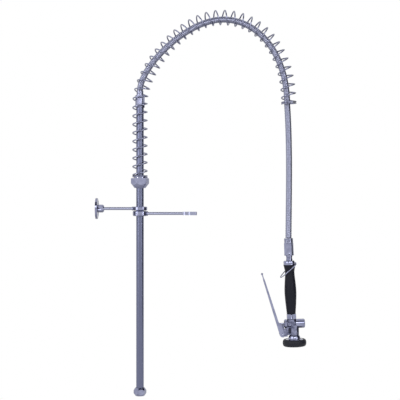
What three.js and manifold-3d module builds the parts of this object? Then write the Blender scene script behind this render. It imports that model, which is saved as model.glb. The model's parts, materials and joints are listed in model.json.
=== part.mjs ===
// A pre rinse faucet: a riser with its wall bracket and gun hook, a coiled support spring
// that carries a flexible hose over in an arch, and a squeeze-lever spray gun with its rose.
// Millimetres, +Z up the riser, +X towards the spray gun, origin at the foot of the riser.
import * as THREE from 'three';
import { mergeVertices } from 'three/addons/utils/BufferGeometryUtils.js';
import Module from 'manifold-3d';

const wasm = await Module();
wasm.setup();

// ---- Driving dimensions ---------------------------------------------------------------

// Clearances
const GAP = 0.3; // between two pieces that touch or run on each other
const OVERCUT = 1; // how far a cutting shape runs past the face that it cuts
const EDGE = 1.5; // chamfer of a turned or hexagon edge
const GRIP_DEPTH = 2; // how far a blind end is buried in the piece that holds it

// Riser and its foot
const RISER_DIAMETER = 22.4;
const RISER_WALL = 2;
const RISER_TOP = 848;
const RISER_NECK_DIAMETER = 19;
const RISER_NECK_LENGTH = 20;
const FOOT_NUT_FLATS = 33;
const FOOT_NUT_HEIGHT = 24;
const FOOT_NUT_END_DIAMETER = 27;
const FOOT_NUT_CHAMFER = 8;
const FOOT_NUT_TURN = -18; // degrees from a corner in front
const FOOT_THREAD_DIAMETER = 21;
const FOOT_THREAD_DEPTH = 11;
const FOOT_SHOULDER = 2;
const FOOT_SHOULDER_BORE = 17;
const FOOT_WASHER_THICKNESS = 2.7;

// Seat of the support spring
const SEAT_ABOVE_WALL_ARM = 60.5; // foot of the seat above the axis of the wall arm
const SEAT_HEIGHT = 29;
const SEAT_FLATS = 47;
const SEAT_NECK_DIAMETER = 33;
const SEAT_TAPER_HEIGHT = 14;
const SEAT_SPIGOT_HEIGHT = 5;
const SEAT_SCREW_RISE = 20.3; // above the seat's foot
const SEAT_SCREW_ANGLE = 180; // degrees from the front
const SEAT_SPIGOT_PLAY = 1.8;
const SEAT_TURN = -18; // degrees from a corner in front

// Joint of the hose with the riser
const TOP_NUT_FLATS = 24;
const TOP_NUT_HEIGHT = 38;
const TOP_NUT_LIP = 6;
const TOP_FERRULE_DIAMETER = 20.4;
const TOP_FERRULE_NECK = 16.5;
const TOP_FERRULE_SLEEVE = 12;
const TOP_FERRULE_FLANGE = 7;
const HOSE_BORE = 10;
const TOP_WASHER_THICKNESS = 3;

// Wall bracket
const WALL_DISTANCE = 130.3;
const WALL_ARM_HEIGHT = 551.5;
const ARM_DIAMETER = 8.8;
const COLLAR_DIAMETER = 43;
const COLLAR_CHAMFER = 2;
const COLLAR_SOCKET_DEPTH = 6;
const WALL_COLLAR_HEIGHT = 11.5;
const COLLAR_BOSS_DIAMETER = 14;
const COLLAR_BOSS_REACH = 23.5;
const FLANGE_DIAMETER = 62;
const FLANGE_THICKNESS = 6.5;
const FLANGE_EDGE = 2.5; // width of the rounding round the flange's front edge
const FLANGE_DISH = 1.5; // how far the middle lies below the rim
const FLANGE_SCREW_CIRCLE = 42;
const FLANGE_SCREW_HOLE = 5.5;
const FLANGE_SCREW_COUNT = 3;
const FLANGE_NUT_LAND = 1; // flat left round the corners of the hub nut
const HUB_NUT_FLATS = 20;
const HUB_NUT_LENGTH = 19;
const HUB_NUT_LIP = 5;
const HUB_NUT_CHAMFER = 4;
const ARM_HEAD_DIAMETER = 13;
const ARM_HEAD_LENGTH = 5;

// Gun hook
const HOOK_ARM_DROP = 14.5; // axis of the hook arm below the axis of the wall arm
const HOOK_COLLAR_HEIGHT = 15;
const HOOK_REACH = 168;
const HOOK_FORK_LENGTH = 42;
const HOOK_FORK_WIDTH = 34;
const HOOK_SLOT_WIDTH = 21.5;
const HOOK_FORK_THICKNESS = 10;
const HOOK_BEVEL = 1.4;
const HOOK_THROAT = 0.58; // share of the fork's length before the slot's round end
const HOOK_SWELL = 10; // over this length the shank swells to the fork's width
const HOOK_SHANK_PULL = 12; // Bezier handle of the swell at the shank
const HOOK_CURVE_STEPS = 6;
const SET_SCREW_DIAMETER = 6;
const SET_SCREW_SOCKET = 3;
const SET_SCREW_SINK = 0.5; // how far its end lies under the surface
const SET_SCREW_SOCKET_DEPTH = 2.5;
const HOOK_SCREW_ANGLES = [-25, 5]; // degrees round the collar from its front

// Support spring
const SPRING_DIAMETER = 46; // outside the coils
const SPRING_WIRE = 4;
const COIL_PLAY = 0.1; // more than GAP between closed turns
const SPRING_TURNS = 38;
const SPRING_CLOSED_TURNS = 1.5; // at each end
const SPRING_BEND_START = 860;
const ARCH_APEX_X = 240;
const ARCH_APEX_Z = 1115;
const ARCH_END_X = 439;
const ARCH_END_Z = 860;
const ARCH_RISE_PULL = 105; // Bezier handles of the arch
const ARCH_APEX_PULL_LEFT = 112;
const ARCH_APEX_PULL_RIGHT = 110;
const ARCH_FALL_PULL = 140;

// Hose
const HOSE_DIAMETER = 18.5;
const HOSE_INSET = 5; // hose axis inside the spring axis along the arch
const HOSE_APEX_DROP = 6;
const HOSE_STRAIGHT = 1; // length that leaves the ferrule straight
const HOSE_RISE_PULL = 70;
const HOSE_SIDES = 10;
const HOSE_END_Z = 464;
const HOSE_DROP_PULL = 130; // Bezier handles of the hanging length
const HOSE_DROP_LEAN = 1; // the handle above the gun, from the gun's side of the hose
const HOSE_BOW = 9; // the hanging length bows out this much at its upper handle
const HOSE_JOINT_GAP = 0.7; // lets its end faces tilt
const HOSE_DROP_STEPS = 10;

// Spray gun: depths are measured down its axis from the top of the hose ferrule
const GUN_X = 438;
const GUN_LEAN = 2.1; // degrees, rose end towards +X
const END_FERRULE_DIAMETER = 26.5;
const END_FERRULE_NECK = 16;
const END_FERRULE_HEAD_LENGTH = 5;
const END_FERRULE_LENGTH = 13;
const END_FERRULE_EDGE = 1;
const SWIVEL_NUT_FLATS = 24;
const SWIVEL_NUT_LENGTH = 37.7;
const SWIVEL_NUT_UPPER_LIP = 5;
const SWIVEL_NUT_LOWER_LIP = 8;
const SWIVEL_NUT_RIM = 29;
const SWIVEL_NUT_RIM_HEIGHT = 4;
const SWIVEL_NUT_RIM_BAND = 1; // straight part of the rim
const SWIVEL_NUT_RIM_EDGE = 1;
const SPIGOT_DIAMETER = 19;
const SPIGOT_BORE = 9;
const SPIGOT_HEAD_DIAMETER = 20.6;
const SPIGOT_HEAD_LENGTH = 6;
const SPIGOT_TOP_PLAY = 1; // its top end is this much thinner than its neck
const SPIGOT_SCREW_DIAMETER = 15; // the end that screws into the collar
const SPIGOT_SCREW_LENGTH = 5;
const SEAL_THICKNESS = 2.5;
const SPIGOT_FREE_LENGTH = 15; // between the swivel nut and the collar
const GUN_COLLAR_DIAMETER = 35;
const GUN_COLLAR_HEIGHT = 12;
const GUN_COLLAR_BEVEL_WIDTH = 3;
const GUN_COLLAR_BEVEL_HEIGHT = 2.5;
const HANDLE_TUBE_DIAMETER = 16;
const HANDLE_BORE = 11;
const TUBE_COLLAR_SEAT = 4; // how far the handle tube enters the collar
const GRIP_LENGTH = 144.7;
const GRIP_TOP_DIAMETER = 36;
const GRIP_WAIST_DIAMETER = 28;
const GRIP_WAIST_DROP = 27.7; // below the top of the grip
const GRIP_WAIST_LENGTH = 12;
const GRIP_WAIST_FLARE = 0.6; // the waist's upper end is this much wider than its middle
const GRIP_BULGE_DIAMETER = 35;
const GRIP_BULGE_DROP = 81.7;
const GRIP_END_DIAMETER = 26;
const NECK_NUT_FLATS = 27;
const NECK_NUT_HEIGHT = 14.8;
const TUBE_SEAT = 6; // how far the handle tube enters the valve body

// Valve body
const INLET_HEIGHT = 13.6; // from the body's top to the valve's axis
const VALVE_BARREL_DIAMETER = 25;
const VALVE_BARREL_LEFT = 14;
const VALVE_BARREL_RIGHT = 9;
const INLET_DIAMETER = 27;
const INLET_BORE = 11;
const INLET_OVERLAP = 4; // how far inlet and outlet run past the valve's axis
const OUTLET_OFFSET = 6.5;
const OUTLET_DIAMETER = 29;
const OUTLET_BORE = 9;
const OUTLET_BORE_SHIFT = 2; // towards the bonnet, clear of the valve's seat
const OUTLET_HEIGHT = 33; // from the valve's axis to the body's end
const INLET_CHAMBER_DIAMETER = 13;
const INLET_CHAMBER_REACH = 6;
const SEAT_FACE_X = 3; // closing face of the valve, from the handle axis
const SEAT_RIM = 2; // thickness of the rim that the disc closes on
const SEAT_BORE = 9;
const SPRING_CHAMBER_DIAMETER = 18;
const SPIGOT_THREAD_DIAMETER = 22;
const SPIGOT_THREAD_LENGTH = 8;
const STEM_DIAMETER = 6;
const STEM_HEAD_DIAMETER = 10;
const STEM_HEAD_LENGTH = 3;
const STEM_HEAD_SPIGOT = 2;
const DISC_DIAMETER = 14;
const DISC_THICKNESS = 3;
const STEM_SEAL_THICKNESS = 3;
const STEM_SEAL_DIAMETER = 11;
const PACKING_NUT_FLATS = 23;
const PACKING_NUT_LENGTH = 8;
const PACKING_NUT_CHAMFER = 3;
const BONNET_DIAMETER = 27;
const BONNET_END = 38.7;
const BONNET_CHAMFER = 3;
const BONNET_START_EDGE = 1;
const BONNET_END_WALL = 4;
const BONNET_PLAY = 0.6; // between the bonnet and the castings beside it
const BONNET_RING_THICKNESS = 1.6;
const VALVE_SPRING_DIAMETER = 12;
const VALVE_SPRING_WIRE = 1.4;
const VALVE_SPRING_TURNS = 6;
const VALVE_SPRING_PLAY = 1.5;
const VALVE_SPRING_CLOSED_TURNS = 1; // at each end
const FRONT_BOSS_X = -7.5;
const FRONT_BOSS_DIAMETER = 12;
const FRONT_BOSS_REACH = 16;

// Lug that carries the lever
const LUG_LEFT = 15.5;
const LUG_RIGHT = 3;
const LUG_WIDTH = 18;
const LUG_STEP = 0.5; // the lug ends this much above the outlet
const EAR_WIDTH = 11.4;
const EAR_RADIUS = 6.5;
const POCKET_X = -7.2;
const POCKET_RISE = 12.5; // its middle above the end of the lug
const POCKET_WIDTH = 8;
const POCKET_HEIGHT = 17;
const POCKET_DEEP = 4;
const POCKET_CURVE_STEPS = 6;

// Lever
const PIVOT_X = -28;
const PIVOT_RISE = 1.5; // above the end of the lug
const LEVER_LEAN = 14.8; // degrees from the gun axis
const LEVER_LENGTH = 188;
const LEVER_WIDTH = 16;
const LEVER_SHEET = 2;
const LEVER_FOOT_LEFT = 8.5; // from the pivot to the back of the web
const LEVER_FOOT_RIGHT = 12; // from the pivot to the free edge of the cheeks
const LEVER_CHEEK_SHOULDER = 14; // up to here the cheeks are full width
const LEVER_CHEEK_WAIST = 19;
const LEVER_WAIST_RIGHT = 6.5;
const LEVER_WAIST_TOP = 27;
const LEVER_ARM_START = 38;
const LEVER_FOOT_POINT = 8.5;
const LEVER_FOOT_SWELL = 5.1; // depth of the handles that round the foot off
const LEVER_CURVE_STEPS = 5;
const LEVER_ARM_DEPTH = 8;
const LEVER_TIP_DEPTH = 5;
const LEVER_CHANNEL_END = 170;
const LEVER_BALL_DIAMETER = 6.6;
const LEVER_NECK_DIAMETER = 3.4;
const PIN_DIAMETER = 5;
const PIN_HEAD_DIAMETER = 8;
const PIN_HEAD_THICKNESS = 1.6;
const PIN_HEAD_EDGE = 0.5;

// Hold-open ring
const RING_WIRE = 2.8;
const RING_PIVOT_X = 17;
const RING_PIVOT_RISE = 3.7; // above the lower face of the collar
const RING_LENGTH = 60;
const RING_WIDTH = 44;
const RING_TIP_RADIUS = 9;
const RING_BEND = 10; // radius of the corners next to the eye
const RING_TAPER = 4; // each strand closes in by this much towards the tip
const RING_STRAIGHT = 33; // length of each strand before the tip's curve
const RING_DROP = 42; // degrees below level
const RING_ROLL = 7; // degrees that the loose ring hangs down at its near side
const RING_EYE_PLAY = 0.6;
const RING_FLAT_PLAY = 1.6; // between the wire and the flat behind it
const RING_LUG_WIDTH = 5;
const RING_LUG_DIAMETER = 7;
const RING_LUG_WEB_HEIGHT = 4.9;

// Rose
const ROSE_NECK_DIAMETER = 26;
const ROSE_DOME_DIAMETER = 34;
const ROSE_DOME_HEIGHT = 12.5;
const ROSE_DOME_SWELL = 1; // the dome still widens by this much over its lower part
const ROSE_CUP_SLOPE = 2; // radius that the cup's top falls over at its rim
const ROSE_FLANGE_DIAMETER = 60;
const ROSE_CUP_HEIGHT = 16.5;
const ROSE_WALL = 2.5;
const ROSE_FILLET = 2;
const BUMPER_THICKNESS = 4.7; // round the cup
const BUMPER_SHOULDER = 0.5; // its top below the top of the cup
const BUMPER_LIP = 4; // width and thickness of the lip under the cup
const BUMPER_EDGE = 1; // wall of the bumper at its top and bottom edge
const BUMPER_ROUNDNESS = 0.85; // 1 is a half ellipse in section, less is fuller
const SPRAY_PLATE_THICKNESS = 2;
const SPRAY_HOLE = 2.4;
const SPRAY_RINGS = [[9, 8], [17, 14]]; // radius and number of holes
const ROSE_SCREW_DIAMETER = 5;
const ROSE_SCREW_HEAD = 9;
const ROSE_SCREW_HEAD_HEIGHT = 2.2;
const ROSE_SCREW_SLOT = 1.2; // width and depth of its slot
const ROSE_POST_DIAMETER = 12;

// Facets
const ROUND_SIDES = 18;
const SMALL_SIDES = 10;
const GRIP_SIDES = 18;
const GRIP_RINGS = 10;
const BUMPER_SIDES = 24;
const BUMPER_RINGS = 5;
const SPRING_STEPS_PER_TURN = 8;
const SPRING_WIRE_SIDES = 5;
const VALVE_SPRING_STEPS_PER_TURN = 6;
const VALVE_SPRING_SIDES = 4;
const RING_STEPS = 32;
const RING_SIDES = 6;
const SPRAY_HOLE_SIDES = 6;

// ---- Finishes -------------------------------------------------------------------------

const finish = (color, roughness, metalness) =>
  new THREE.MeshStandardMaterial({ color, roughness, metalness });
const chrome = () => finish(0x9a9db4, 0.15, 1);
const stainless = () => finish(0x83869c, 0.3, 1);
const springSteel = () => finish(0x8f92a8, 0.25, 1);
const blackRubber = () => finish(0x22232e, 0.6, 0);
const brass = () => finish(0xb08d57, 0.35, 1);

// ---- Shapes ---------------------------------------------------------------------------

const rad = THREE.MathUtils.degToRad;

// Signed volume of a closed triangle mesh: negative when its faces point inwards.
function signedVolume(geometry) {
  const p = geometry.attributes.position;
  const index = geometry.index.array;
  const corner = [new THREE.Vector3(), new THREE.Vector3(), new THREE.Vector3()];
  let sum = 0;
  for (let i = 0; i < index.length; i += 3) {
    corner.forEach((v, k) => v.fromBufferAttribute(p, index[i + k]));
    sum += corner[0].dot(corner[1].cross(corner[2]));
  }
  return sum / 6;
}

// A closed geometry as a solid that can be joined and cut.
function solid(geometry) {
  const bare = geometry.clone();
  bare.deleteAttribute('normal');
  bare.deleteAttribute('uv');
  const merged = mergeVertices(bare, 1e-4);
  const triVerts = Uint32Array.from(merged.index.array);
  if (signedVolume(merged) < 0) {
    for (let i = 0; i < triVerts.length; i += 3) {
      [triVerts[i], triVerts[i + 1]] = [triVerts[i + 1], triVerts[i]];
    }
  }
  const vertProperties = Float32Array.from(merged.attributes.position.array);
  return new wasm.Manifold(new wasm.Mesh({ numProp: 3, vertProperties, triVerts }));
}

function toGeometry(body) {
  const mesh = body.getMesh();
  const geometry = new THREE.BufferGeometry();
  geometry.setAttribute('position', new THREE.BufferAttribute(mesh.vertProperties, 3));
  geometry.setIndex(new THREE.BufferAttribute(mesh.triVerts, 1));
  return geometry;
}

const union = (...bodies) => bodies.reduce((a, b) => a.add(b));
const cut = (body, ...tools) => tools.reduce((a, b) => a.subtract(b), body);

// A profile of [radius, height] corners turned round Z. A ring's profile closes on itself.
function turned(profile, sides = ROUND_SIDES) {
  const points = profile.map(([r, z]) => new THREE.Vector2(r, z));
  return new THREE.LatheGeometry(points, sides).rotateX(Math.PI / 2);
}

function ring(outer, inner, z0, z1, sides = ROUND_SIDES) {
  const [a, b] = [outer / 2, inner / 2];
  return turned([[b, z0], [a, z0], [a, z1], [b, z1], [b, z0]], sides);
}

function rod(diameter, z0, z1, sides = ROUND_SIDES) {
  const geometry = new THREE.CylinderGeometry(diameter / 2, diameter / 2, z1 - z0, sides);
  return geometry.rotateX(Math.PI / 2).translate(0, 0, (z0 + z1) / 2);
}

const FLAT_UP = Math.PI / 6; // turns a hexagon that lies along X so that a flat faces up

// A hexagon bar whose corners are turned down to the end diameters over each chamfer.
function hexagon(flats, z0, z1, endDiameters, chamfers, turn = 0) {
  const corner = flats / Math.sqrt(3);
  const bar = rod(2 * corner, z0, z1, 6).rotateZ(turn);
  const [low, high] = endDiameters.map((d) => Math.min(d / 2, corner));
  const outline = [[0, z0], [low, z0], [corner, z0 + chamfers[0]]];
  outline.push([corner, z1 - chamfers[1]], [high, z1], [0, z1]);
  return solid(bar).intersect(solid(turned(outline)));
}

function box(width, depth, height, x, y, z) {
  return new THREE.BoxGeometry(width, depth, height).translate(x, y, z);
}

// A sweep of a round section along a curve.
function sweep(path, diameter, steps, sides) {
  const section = new THREE.Shape();
  const angle = (k) => (2 * Math.PI * k) / sides;
  for (let k = 0; k < sides; k += 1) {
    const [x, y] = [Math.cos(angle(k)), Math.sin(angle(k))];
    section[k ? 'lineTo' : 'moveTo'](x * diameter / 2, y * diameter / 2);
  }
  section.closePath();
  return new THREE.ExtrudeGeometry(section, { steps, extrudePath: path, bevelEnabled: false });
}

// Turned shapes stand on Z. These lay one along X or along -Y.
const alongX = (geometry) => geometry.rotateY(Math.PI / 2);
const alongFront = (geometry) => geometry.rotateX(Math.PI / 2);

// A grub screw with a hexagon socket, its outer end at the given radius from the Z axis.
function setScrew(inner, outer) {
  const body = solid(rod(SET_SCREW_DIAMETER - 2 * GAP, inner, outer, SMALL_SIDES));
  const socketFrom = outer - SET_SCREW_SOCKET_DEPTH;
  return cut(body, solid(rod(SET_SCREW_SOCKET, socketFrom, outer + OVERCUT, 6)));
}

// Stands a Z-aligned solid out radially at an angle from the front (-Y), at height z.
function radial(geometry, degrees, z) {
  return geometry.rotateX(Math.PI / 2).rotateZ(rad(degrees)).translate(0, 0, z);
}

const faucet = new THREE.Group();

function place(name, body, material, parent = faucet) {
  const closed = body instanceof THREE.BufferGeometry ? solid(body) : body;
  const mesh = new THREE.Mesh(toGeometry(closed), material);
  mesh.name = name;
  parent.add(mesh);
}

// ---- Riser and foot -------------------------------------------------------------------

const riserBottom = FOOT_THREAD_DEPTH + FOOT_SHOULDER + GAP;
const riserBore = RISER_DIAMETER - 2 * RISER_WALL;
const slideBore = RISER_DIAMETER + 2 * GAP;

function footNut() {
  const ends = [FOOT_NUT_END_DIAMETER, FOOT_NUT_END_DIAMETER];
  const chamfers = [FOOT_NUT_CHAMFER, FOOT_NUT_CHAMFER];
  const nut = hexagon(FOOT_NUT_FLATS, 0, FOOT_NUT_HEIGHT, ends, chamfers, rad(FOOT_NUT_TURN));
  const shoulderTop = FOOT_THREAD_DEPTH + FOOT_SHOULDER;
  return cut(
    nut,
    solid(rod(FOOT_THREAD_DIAMETER, -OVERCUT, FOOT_THREAD_DEPTH)),
    solid(rod(FOOT_SHOULDER_BORE, -OVERCUT, shoulderTop + OVERCUT)),
    solid(rod(slideBore, shoulderTop, FOOT_NUT_HEIGHT + OVERCUT)),
  );
}

function footWasher() {
  const top = FOOT_THREAD_DEPTH - GAP;
  const outer = FOOT_THREAD_DIAMETER - 2 * GAP;
  return ring(outer, FOOT_SHOULDER_BORE, top - FOOT_WASHER_THICKNESS, top);
}

// A drawn tube with a threaded neck at its top for the hose nut.
function riserPipe() {
  const [outer, neck, bore] = [RISER_DIAMETER, RISER_NECK_DIAMETER, riserBore];
  const top = RISER_TOP + RISER_NECK_LENGTH;
  const neckBore = neck - 2 * RISER_WALL;
  const profile = [[bore, riserBottom], [outer, riserBottom], [outer, RISER_TOP]];
  profile.push([neck, RISER_TOP], [neck, top], [neckBore, top]);
  profile.push([neckBore, RISER_TOP], [bore, RISER_TOP - RISER_WALL], [bore, riserBottom]);
  return turned(profile.map(([d, z]) => [d / 2, z]));
}

place('foot_union_nut', footNut(), chrome());
place('foot_sealing_washer', footWasher(), blackRubber());
place('riser_pipe', riserPipe(), stainless());

// ---- Seat of the support spring -------------------------------------------------------

const seatBottom = WALL_ARM_HEIGHT + SEAT_ABOVE_WALL_ARM;
const seatTop = seatBottom + SEAT_HEIGHT;
const springInside = SPRING_DIAMETER - 2 * SPRING_WIRE;
const seatScrewHeight = seatBottom + SEAT_SCREW_RISE;
const seatScrewEnd = SEAT_FLATS / 2 - SET_SCREW_SINK;

function springSeat() {
  const ends = [SEAT_NECK_DIAMETER, 2 * SEAT_FLATS];
  const chamfers = [SEAT_TAPER_HEIGHT, EDGE];
  const body = hexagon(SEAT_FLATS, seatBottom, seatTop, ends, chamfers, rad(SEAT_TURN));
  const spigotDiameter = springInside - 2 * SEAT_SPIGOT_PLAY;
  const spigot = rod(spigotDiameter, seatTop - GRIP_DEPTH, seatTop + SEAT_SPIGOT_HEIGHT);
  const bore = rod(slideBore, seatBottom - OVERCUT, seatTop + SEAT_SPIGOT_HEIGHT + OVERCUT);
  const hole = rod(SET_SCREW_DIAMETER, 0, SEAT_FLATS, SMALL_SIDES);
  const screwHole = radial(hole, SEAT_SCREW_ANGLE, seatScrewHeight);
  return cut(union(body, solid(spigot)), solid(bore), solid(screwHole));
}

function placeSetScrew(name, degrees, height, outer) {
  const inner = RISER_DIAMETER / 2 + GAP;
  place(name, radial(toGeometry(setScrew(inner, outer)), degrees, height), stainless());
}

place('spring_seat', springSeat(), chrome());
placeSetScrew('seat_set_screw', SEAT_SCREW_ANGLE, seatScrewHeight, seatScrewEnd);

// ---- Joint of the hose with the riser -------------------------------------------------

const topNutBottom = RISER_TOP + GAP;
const topNutTop = topNutBottom + TOP_NUT_HEIGHT;
const topNutCavity = RISER_NECK_DIAMETER + 2 * GAP;
const flangeTop = topNutTop - TOP_NUT_LIP - GAP;
const flangeBottom = flangeTop - TOP_FERRULE_FLANGE;
const ferruleTop = topNutTop + GAP + TOP_FERRULE_SLEEVE;

function topNut() {
  const ends = [TOP_NUT_FLATS, TOP_NUT_FLATS];
  const nut = hexagon(TOP_NUT_FLATS, topNutBottom, topNutTop, ends, [EDGE, EDGE]);
  const cavity = rod(topNutCavity, topNutBottom - OVERCUT, topNutTop - TOP_NUT_LIP);
  const mouth = rod(TOP_FERRULE_NECK + 2 * GAP, topNutBottom, topNutTop + OVERCUT);
  return cut(nut, solid(cavity), solid(mouth));
}

// The crimped end of the hose: a flange inside the nut, a neck through its lip and a sleeve.
function topFerrule() {
  const [flange, sleeve] = [RISER_NECK_DIAMETER, TOP_FERRULE_DIAMETER];
  const sleeveBottom = topNutTop + GAP;
  const profile = [[HOSE_BORE, flangeBottom], [flange, flangeBottom], [flange, flangeTop]];
  profile.push([TOP_FERRULE_NECK, flangeTop], [TOP_FERRULE_NECK, sleeveBottom], [sleeve, sleeveBottom]);
  profile.push([sleeve, ferruleTop], [HOSE_BORE, ferruleTop], [HOSE_BORE, flangeBottom]);
  return turned(profile.map(([d, z]) => [d / 2, z]));
}

// The washer fills the room between the riser's neck and the flange.
function topWasher() {
  const top = flangeBottom - GAP;
  return ring(RISER_NECK_DIAMETER - 2 * GAP, HOSE_BORE, top - TOP_WASHER_THICKNESS, top);
}

place('hose_top_nut', topNut(), chrome());
place('hose_top_ferrule', topFerrule(), stainless());
place('hose_top_washer', topWasher(), blackRubber());

// ---- Wall bracket ---------------------------------------------------------------------

const hookArmHeight = WALL_ARM_HEIGHT - HOOK_ARM_DROP;
const socketFloor = COLLAR_DIAMETER / 2 - COLLAR_SOCKET_DEPTH; // where an arm's end stops
const collarScrewEnd = COLLAR_DIAMETER / 2 - SET_SCREW_SINK;

// A collar bored for the riser, with a boss and a blind socket for an arm towards +X.
function armCollar(height, screwAngles) {
  const [half, r] = [height / 2, COLLAR_DIAMETER / 2];
  const rim = r - COLLAR_CHAMFER;
  const outline = [[0, -half], [rim, -half], [r, COLLAR_CHAMFER - half]];
  outline.push([r, half - COLLAR_CHAMFER], [rim, half], [0, half]);
  const bossDiameter = Math.min(COLLAR_BOSS_DIAMETER, height);
  const reach = COLLAR_BOSS_REACH;
  const boss = alongX(rod(bossDiameter, slideBore / 2, reach, SMALL_SIDES));
  const socket = alongX(rod(ARM_DIAMETER + 2 * GAP, socketFloor, reach + OVERCUT, SMALL_SIDES));
  const holes = screwAngles.map((angle) =>
    solid(radial(rod(SET_SCREW_DIAMETER, 0, COLLAR_DIAMETER, SMALL_SIDES), angle, 0)));
  const bore = rod(slideBore, -height, height);
  return cut(union(solid(turned(outline)), solid(boss)), solid(bore), solid(socket), ...holes);
}

const wallCollarTurn = Math.PI; // the wall arm's socket faces -X
const flangeFace = FLANGE_THICKNESS - FLANGE_DISH; // height of its middle above the wall
const hubNutStart = flangeFace + GAP - WALL_DISTANCE;
const hubNutEnd = hubNutStart + HUB_NUT_LENGTH;
const hubSpigotEnd = hubNutEnd - HUB_NUT_LIP - GAP - ARM_HEAD_LENGTH - GAP;
const hubNutBore = ARM_HEAD_DIAMETER + 2 * GAP;

// A dished flange with a spigot that the hub nut screws onto.
function wallFlange() {
  const [rim, edge] = [FLANGE_DIAMETER / 2, FLANGE_EDGE];
  const spigot = ARM_HEAD_DIAMETER / 2;
  const foot = HUB_NUT_FLATS / Math.sqrt(3) + FLANGE_NUT_LAND;
  const rise = hubSpigotEnd + WALL_DISTANCE;
  const thick = FLANGE_THICKNESS;
  const outline = [[0, 0], [rim, 0], [rim, thick - edge], [rim - edge / 3, thick - edge / 3]];
  outline.push([rim - edge, thick], [rim - 2 * edge, thick]);
  outline.push([foot, flangeFace], [spigot, flangeFace], [spigot, rise], [0, rise]);
  const body = solid(turned(outline));
  const holes = [];
  for (let k = 0; k < FLANGE_SCREW_COUNT; k += 1) {
    const angle = (2 * Math.PI * k) / FLANGE_SCREW_COUNT + Math.PI / 2;
    const hole = rod(FLANGE_SCREW_HOLE, -OVERCUT, 2 * FLANGE_THICKNESS, SMALL_SIDES);
    const [x, y] = [Math.cos(angle), Math.sin(angle)].map((v) => (v * FLANGE_SCREW_CIRCLE) / 2);
    holes.push(solid(hole.translate(x, -y, 0)));
  }
  const flange = toGeometry(cut(body, ...holes));
  return flange.rotateY(Math.PI / 2).translate(-WALL_DISTANCE, 0, WALL_ARM_HEIGHT);
}

// The hub nut draws the head of the wall arm onto the flange's spigot.
function hubNut() {
  const start = hubNutStart;
  const ends = [2 * HUB_NUT_FLATS, HUB_NUT_FLATS - 2 * EDGE];
  const nut = hexagon(HUB_NUT_FLATS, start, hubNutEnd, ends, [0, HUB_NUT_CHAMFER], FLAT_UP);
  const cavity = rod(hubNutBore, start - OVERCUT, hubNutEnd - HUB_NUT_LIP);
  const mouth = rod(ARM_DIAMETER + 2 * GAP, start, hubNutEnd + OVERCUT, SMALL_SIDES);
  const body = toGeometry(cut(nut, solid(cavity), solid(mouth)));
  return body.rotateY(Math.PI / 2).translate(0, 0, WALL_ARM_HEIGHT);
}

function wallArm() {
  const headEnd = hubNutEnd - HUB_NUT_LIP - GAP;
  const head = rod(ARM_HEAD_DIAMETER, headEnd - ARM_HEAD_LENGTH, headEnd);
  const bar = rod(ARM_DIAMETER, headEnd - GRIP_DEPTH, -socketFloor - GAP, SMALL_SIDES);
  const body = toGeometry(union(solid(head), solid(bar)));
  return body.rotateY(Math.PI / 2).translate(0, 0, WALL_ARM_HEIGHT);
}

const wallCollar = toGeometry(armCollar(WALL_COLLAR_HEIGHT, [0]));
place('wall_collar', wallCollar.rotateZ(wallCollarTurn).translate(0, 0, WALL_ARM_HEIGHT), chrome());
placeSetScrew('wall_collar_screw', 180, WALL_ARM_HEIGHT, collarScrewEnd);
place('wall_arm', wallArm(), stainless());
place('wall_hub_nut', hubNut(), chrome());
place('wall_flange', wallFlange(), chrome());

// ---- Gun hook -------------------------------------------------------------------------

// A forged fork, drawn in plan: a shank that swells into two tines round an open slot.
function hookFork() {
  const start = HOOK_REACH - HOOK_FORK_LENGTH;
  const widths = [ARM_DIAMETER, HOOK_FORK_WIDTH, HOOK_SLOT_WIDTH];
  const [shank, wide, slot] = widths.map((w) => w / 2 - HOOK_BEVEL);
  const slotHalf = slot + 2 * HOOK_BEVEL;
  const tip = HOOK_REACH - HOOK_BEVEL;
  const throat = start + HOOK_FORK_LENGTH * HOOK_THROAT;
  const [early, late] = [start + HOOK_SWELL, start + HOOK_SHANK_PULL];
  const tineRound = (wide - slotHalf) / 2;
  const plan = new THREE.Shape();
  plan.moveTo(start, -shank);
  plan.bezierCurveTo(late, -shank, early, -wide, throat, -wide);
  plan.lineTo(tip - tineRound, -wide);
  plan.absarc(tip - tineRound, -wide + tineRound, tineRound, -Math.PI / 2, Math.PI / 2, false);
  plan.lineTo(throat, -slotHalf);
  plan.absarc(throat, 0, slotHalf, -Math.PI / 2, Math.PI / 2, true);
  plan.lineTo(tip - tineRound, slotHalf);
  plan.absarc(tip - tineRound, wide - tineRound, tineRound, -Math.PI / 2, Math.PI / 2, false);
  plan.lineTo(throat, wide);
  plan.bezierCurveTo(early, wide, late, shank, start, shank);
  const bevel = { bevelEnabled: true, bevelSize: HOOK_BEVEL, bevelThickness: HOOK_BEVEL, bevelSegments: 1 };
  const depth = HOOK_FORK_THICKNESS - 2 * HOOK_BEVEL;
  const fork = new THREE.ExtrudeGeometry(plan, { depth, curveSegments: HOOK_CURVE_STEPS, ...bevel });
  return solid(fork.translate(0, 0, -depth / 2));
}

function hookArm() {
  const barEnd = HOOK_REACH - HOOK_FORK_LENGTH + HOOK_SWELL / 2;
  const bar = alongX(rod(ARM_DIAMETER, socketFloor + GAP, barEnd, SMALL_SIDES));
  return toGeometry(union(solid(bar), hookFork())).translate(0, 0, hookArmHeight);
}

const hookCollar = toGeometry(armCollar(HOOK_COLLAR_HEIGHT, HOOK_SCREW_ANGLES));
place('hook_collar', hookCollar.translate(0, 0, hookArmHeight), chrome());
place('hook_arm', hookArm(), stainless());
HOOK_SCREW_ANGLES.forEach((angle, k) =>
  placeSetScrew(`hook_collar_screw_${k + 1}`, angle, hookArmHeight, collarScrewEnd));

// ---- Support spring and hose ----------------------------------------------------------

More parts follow.
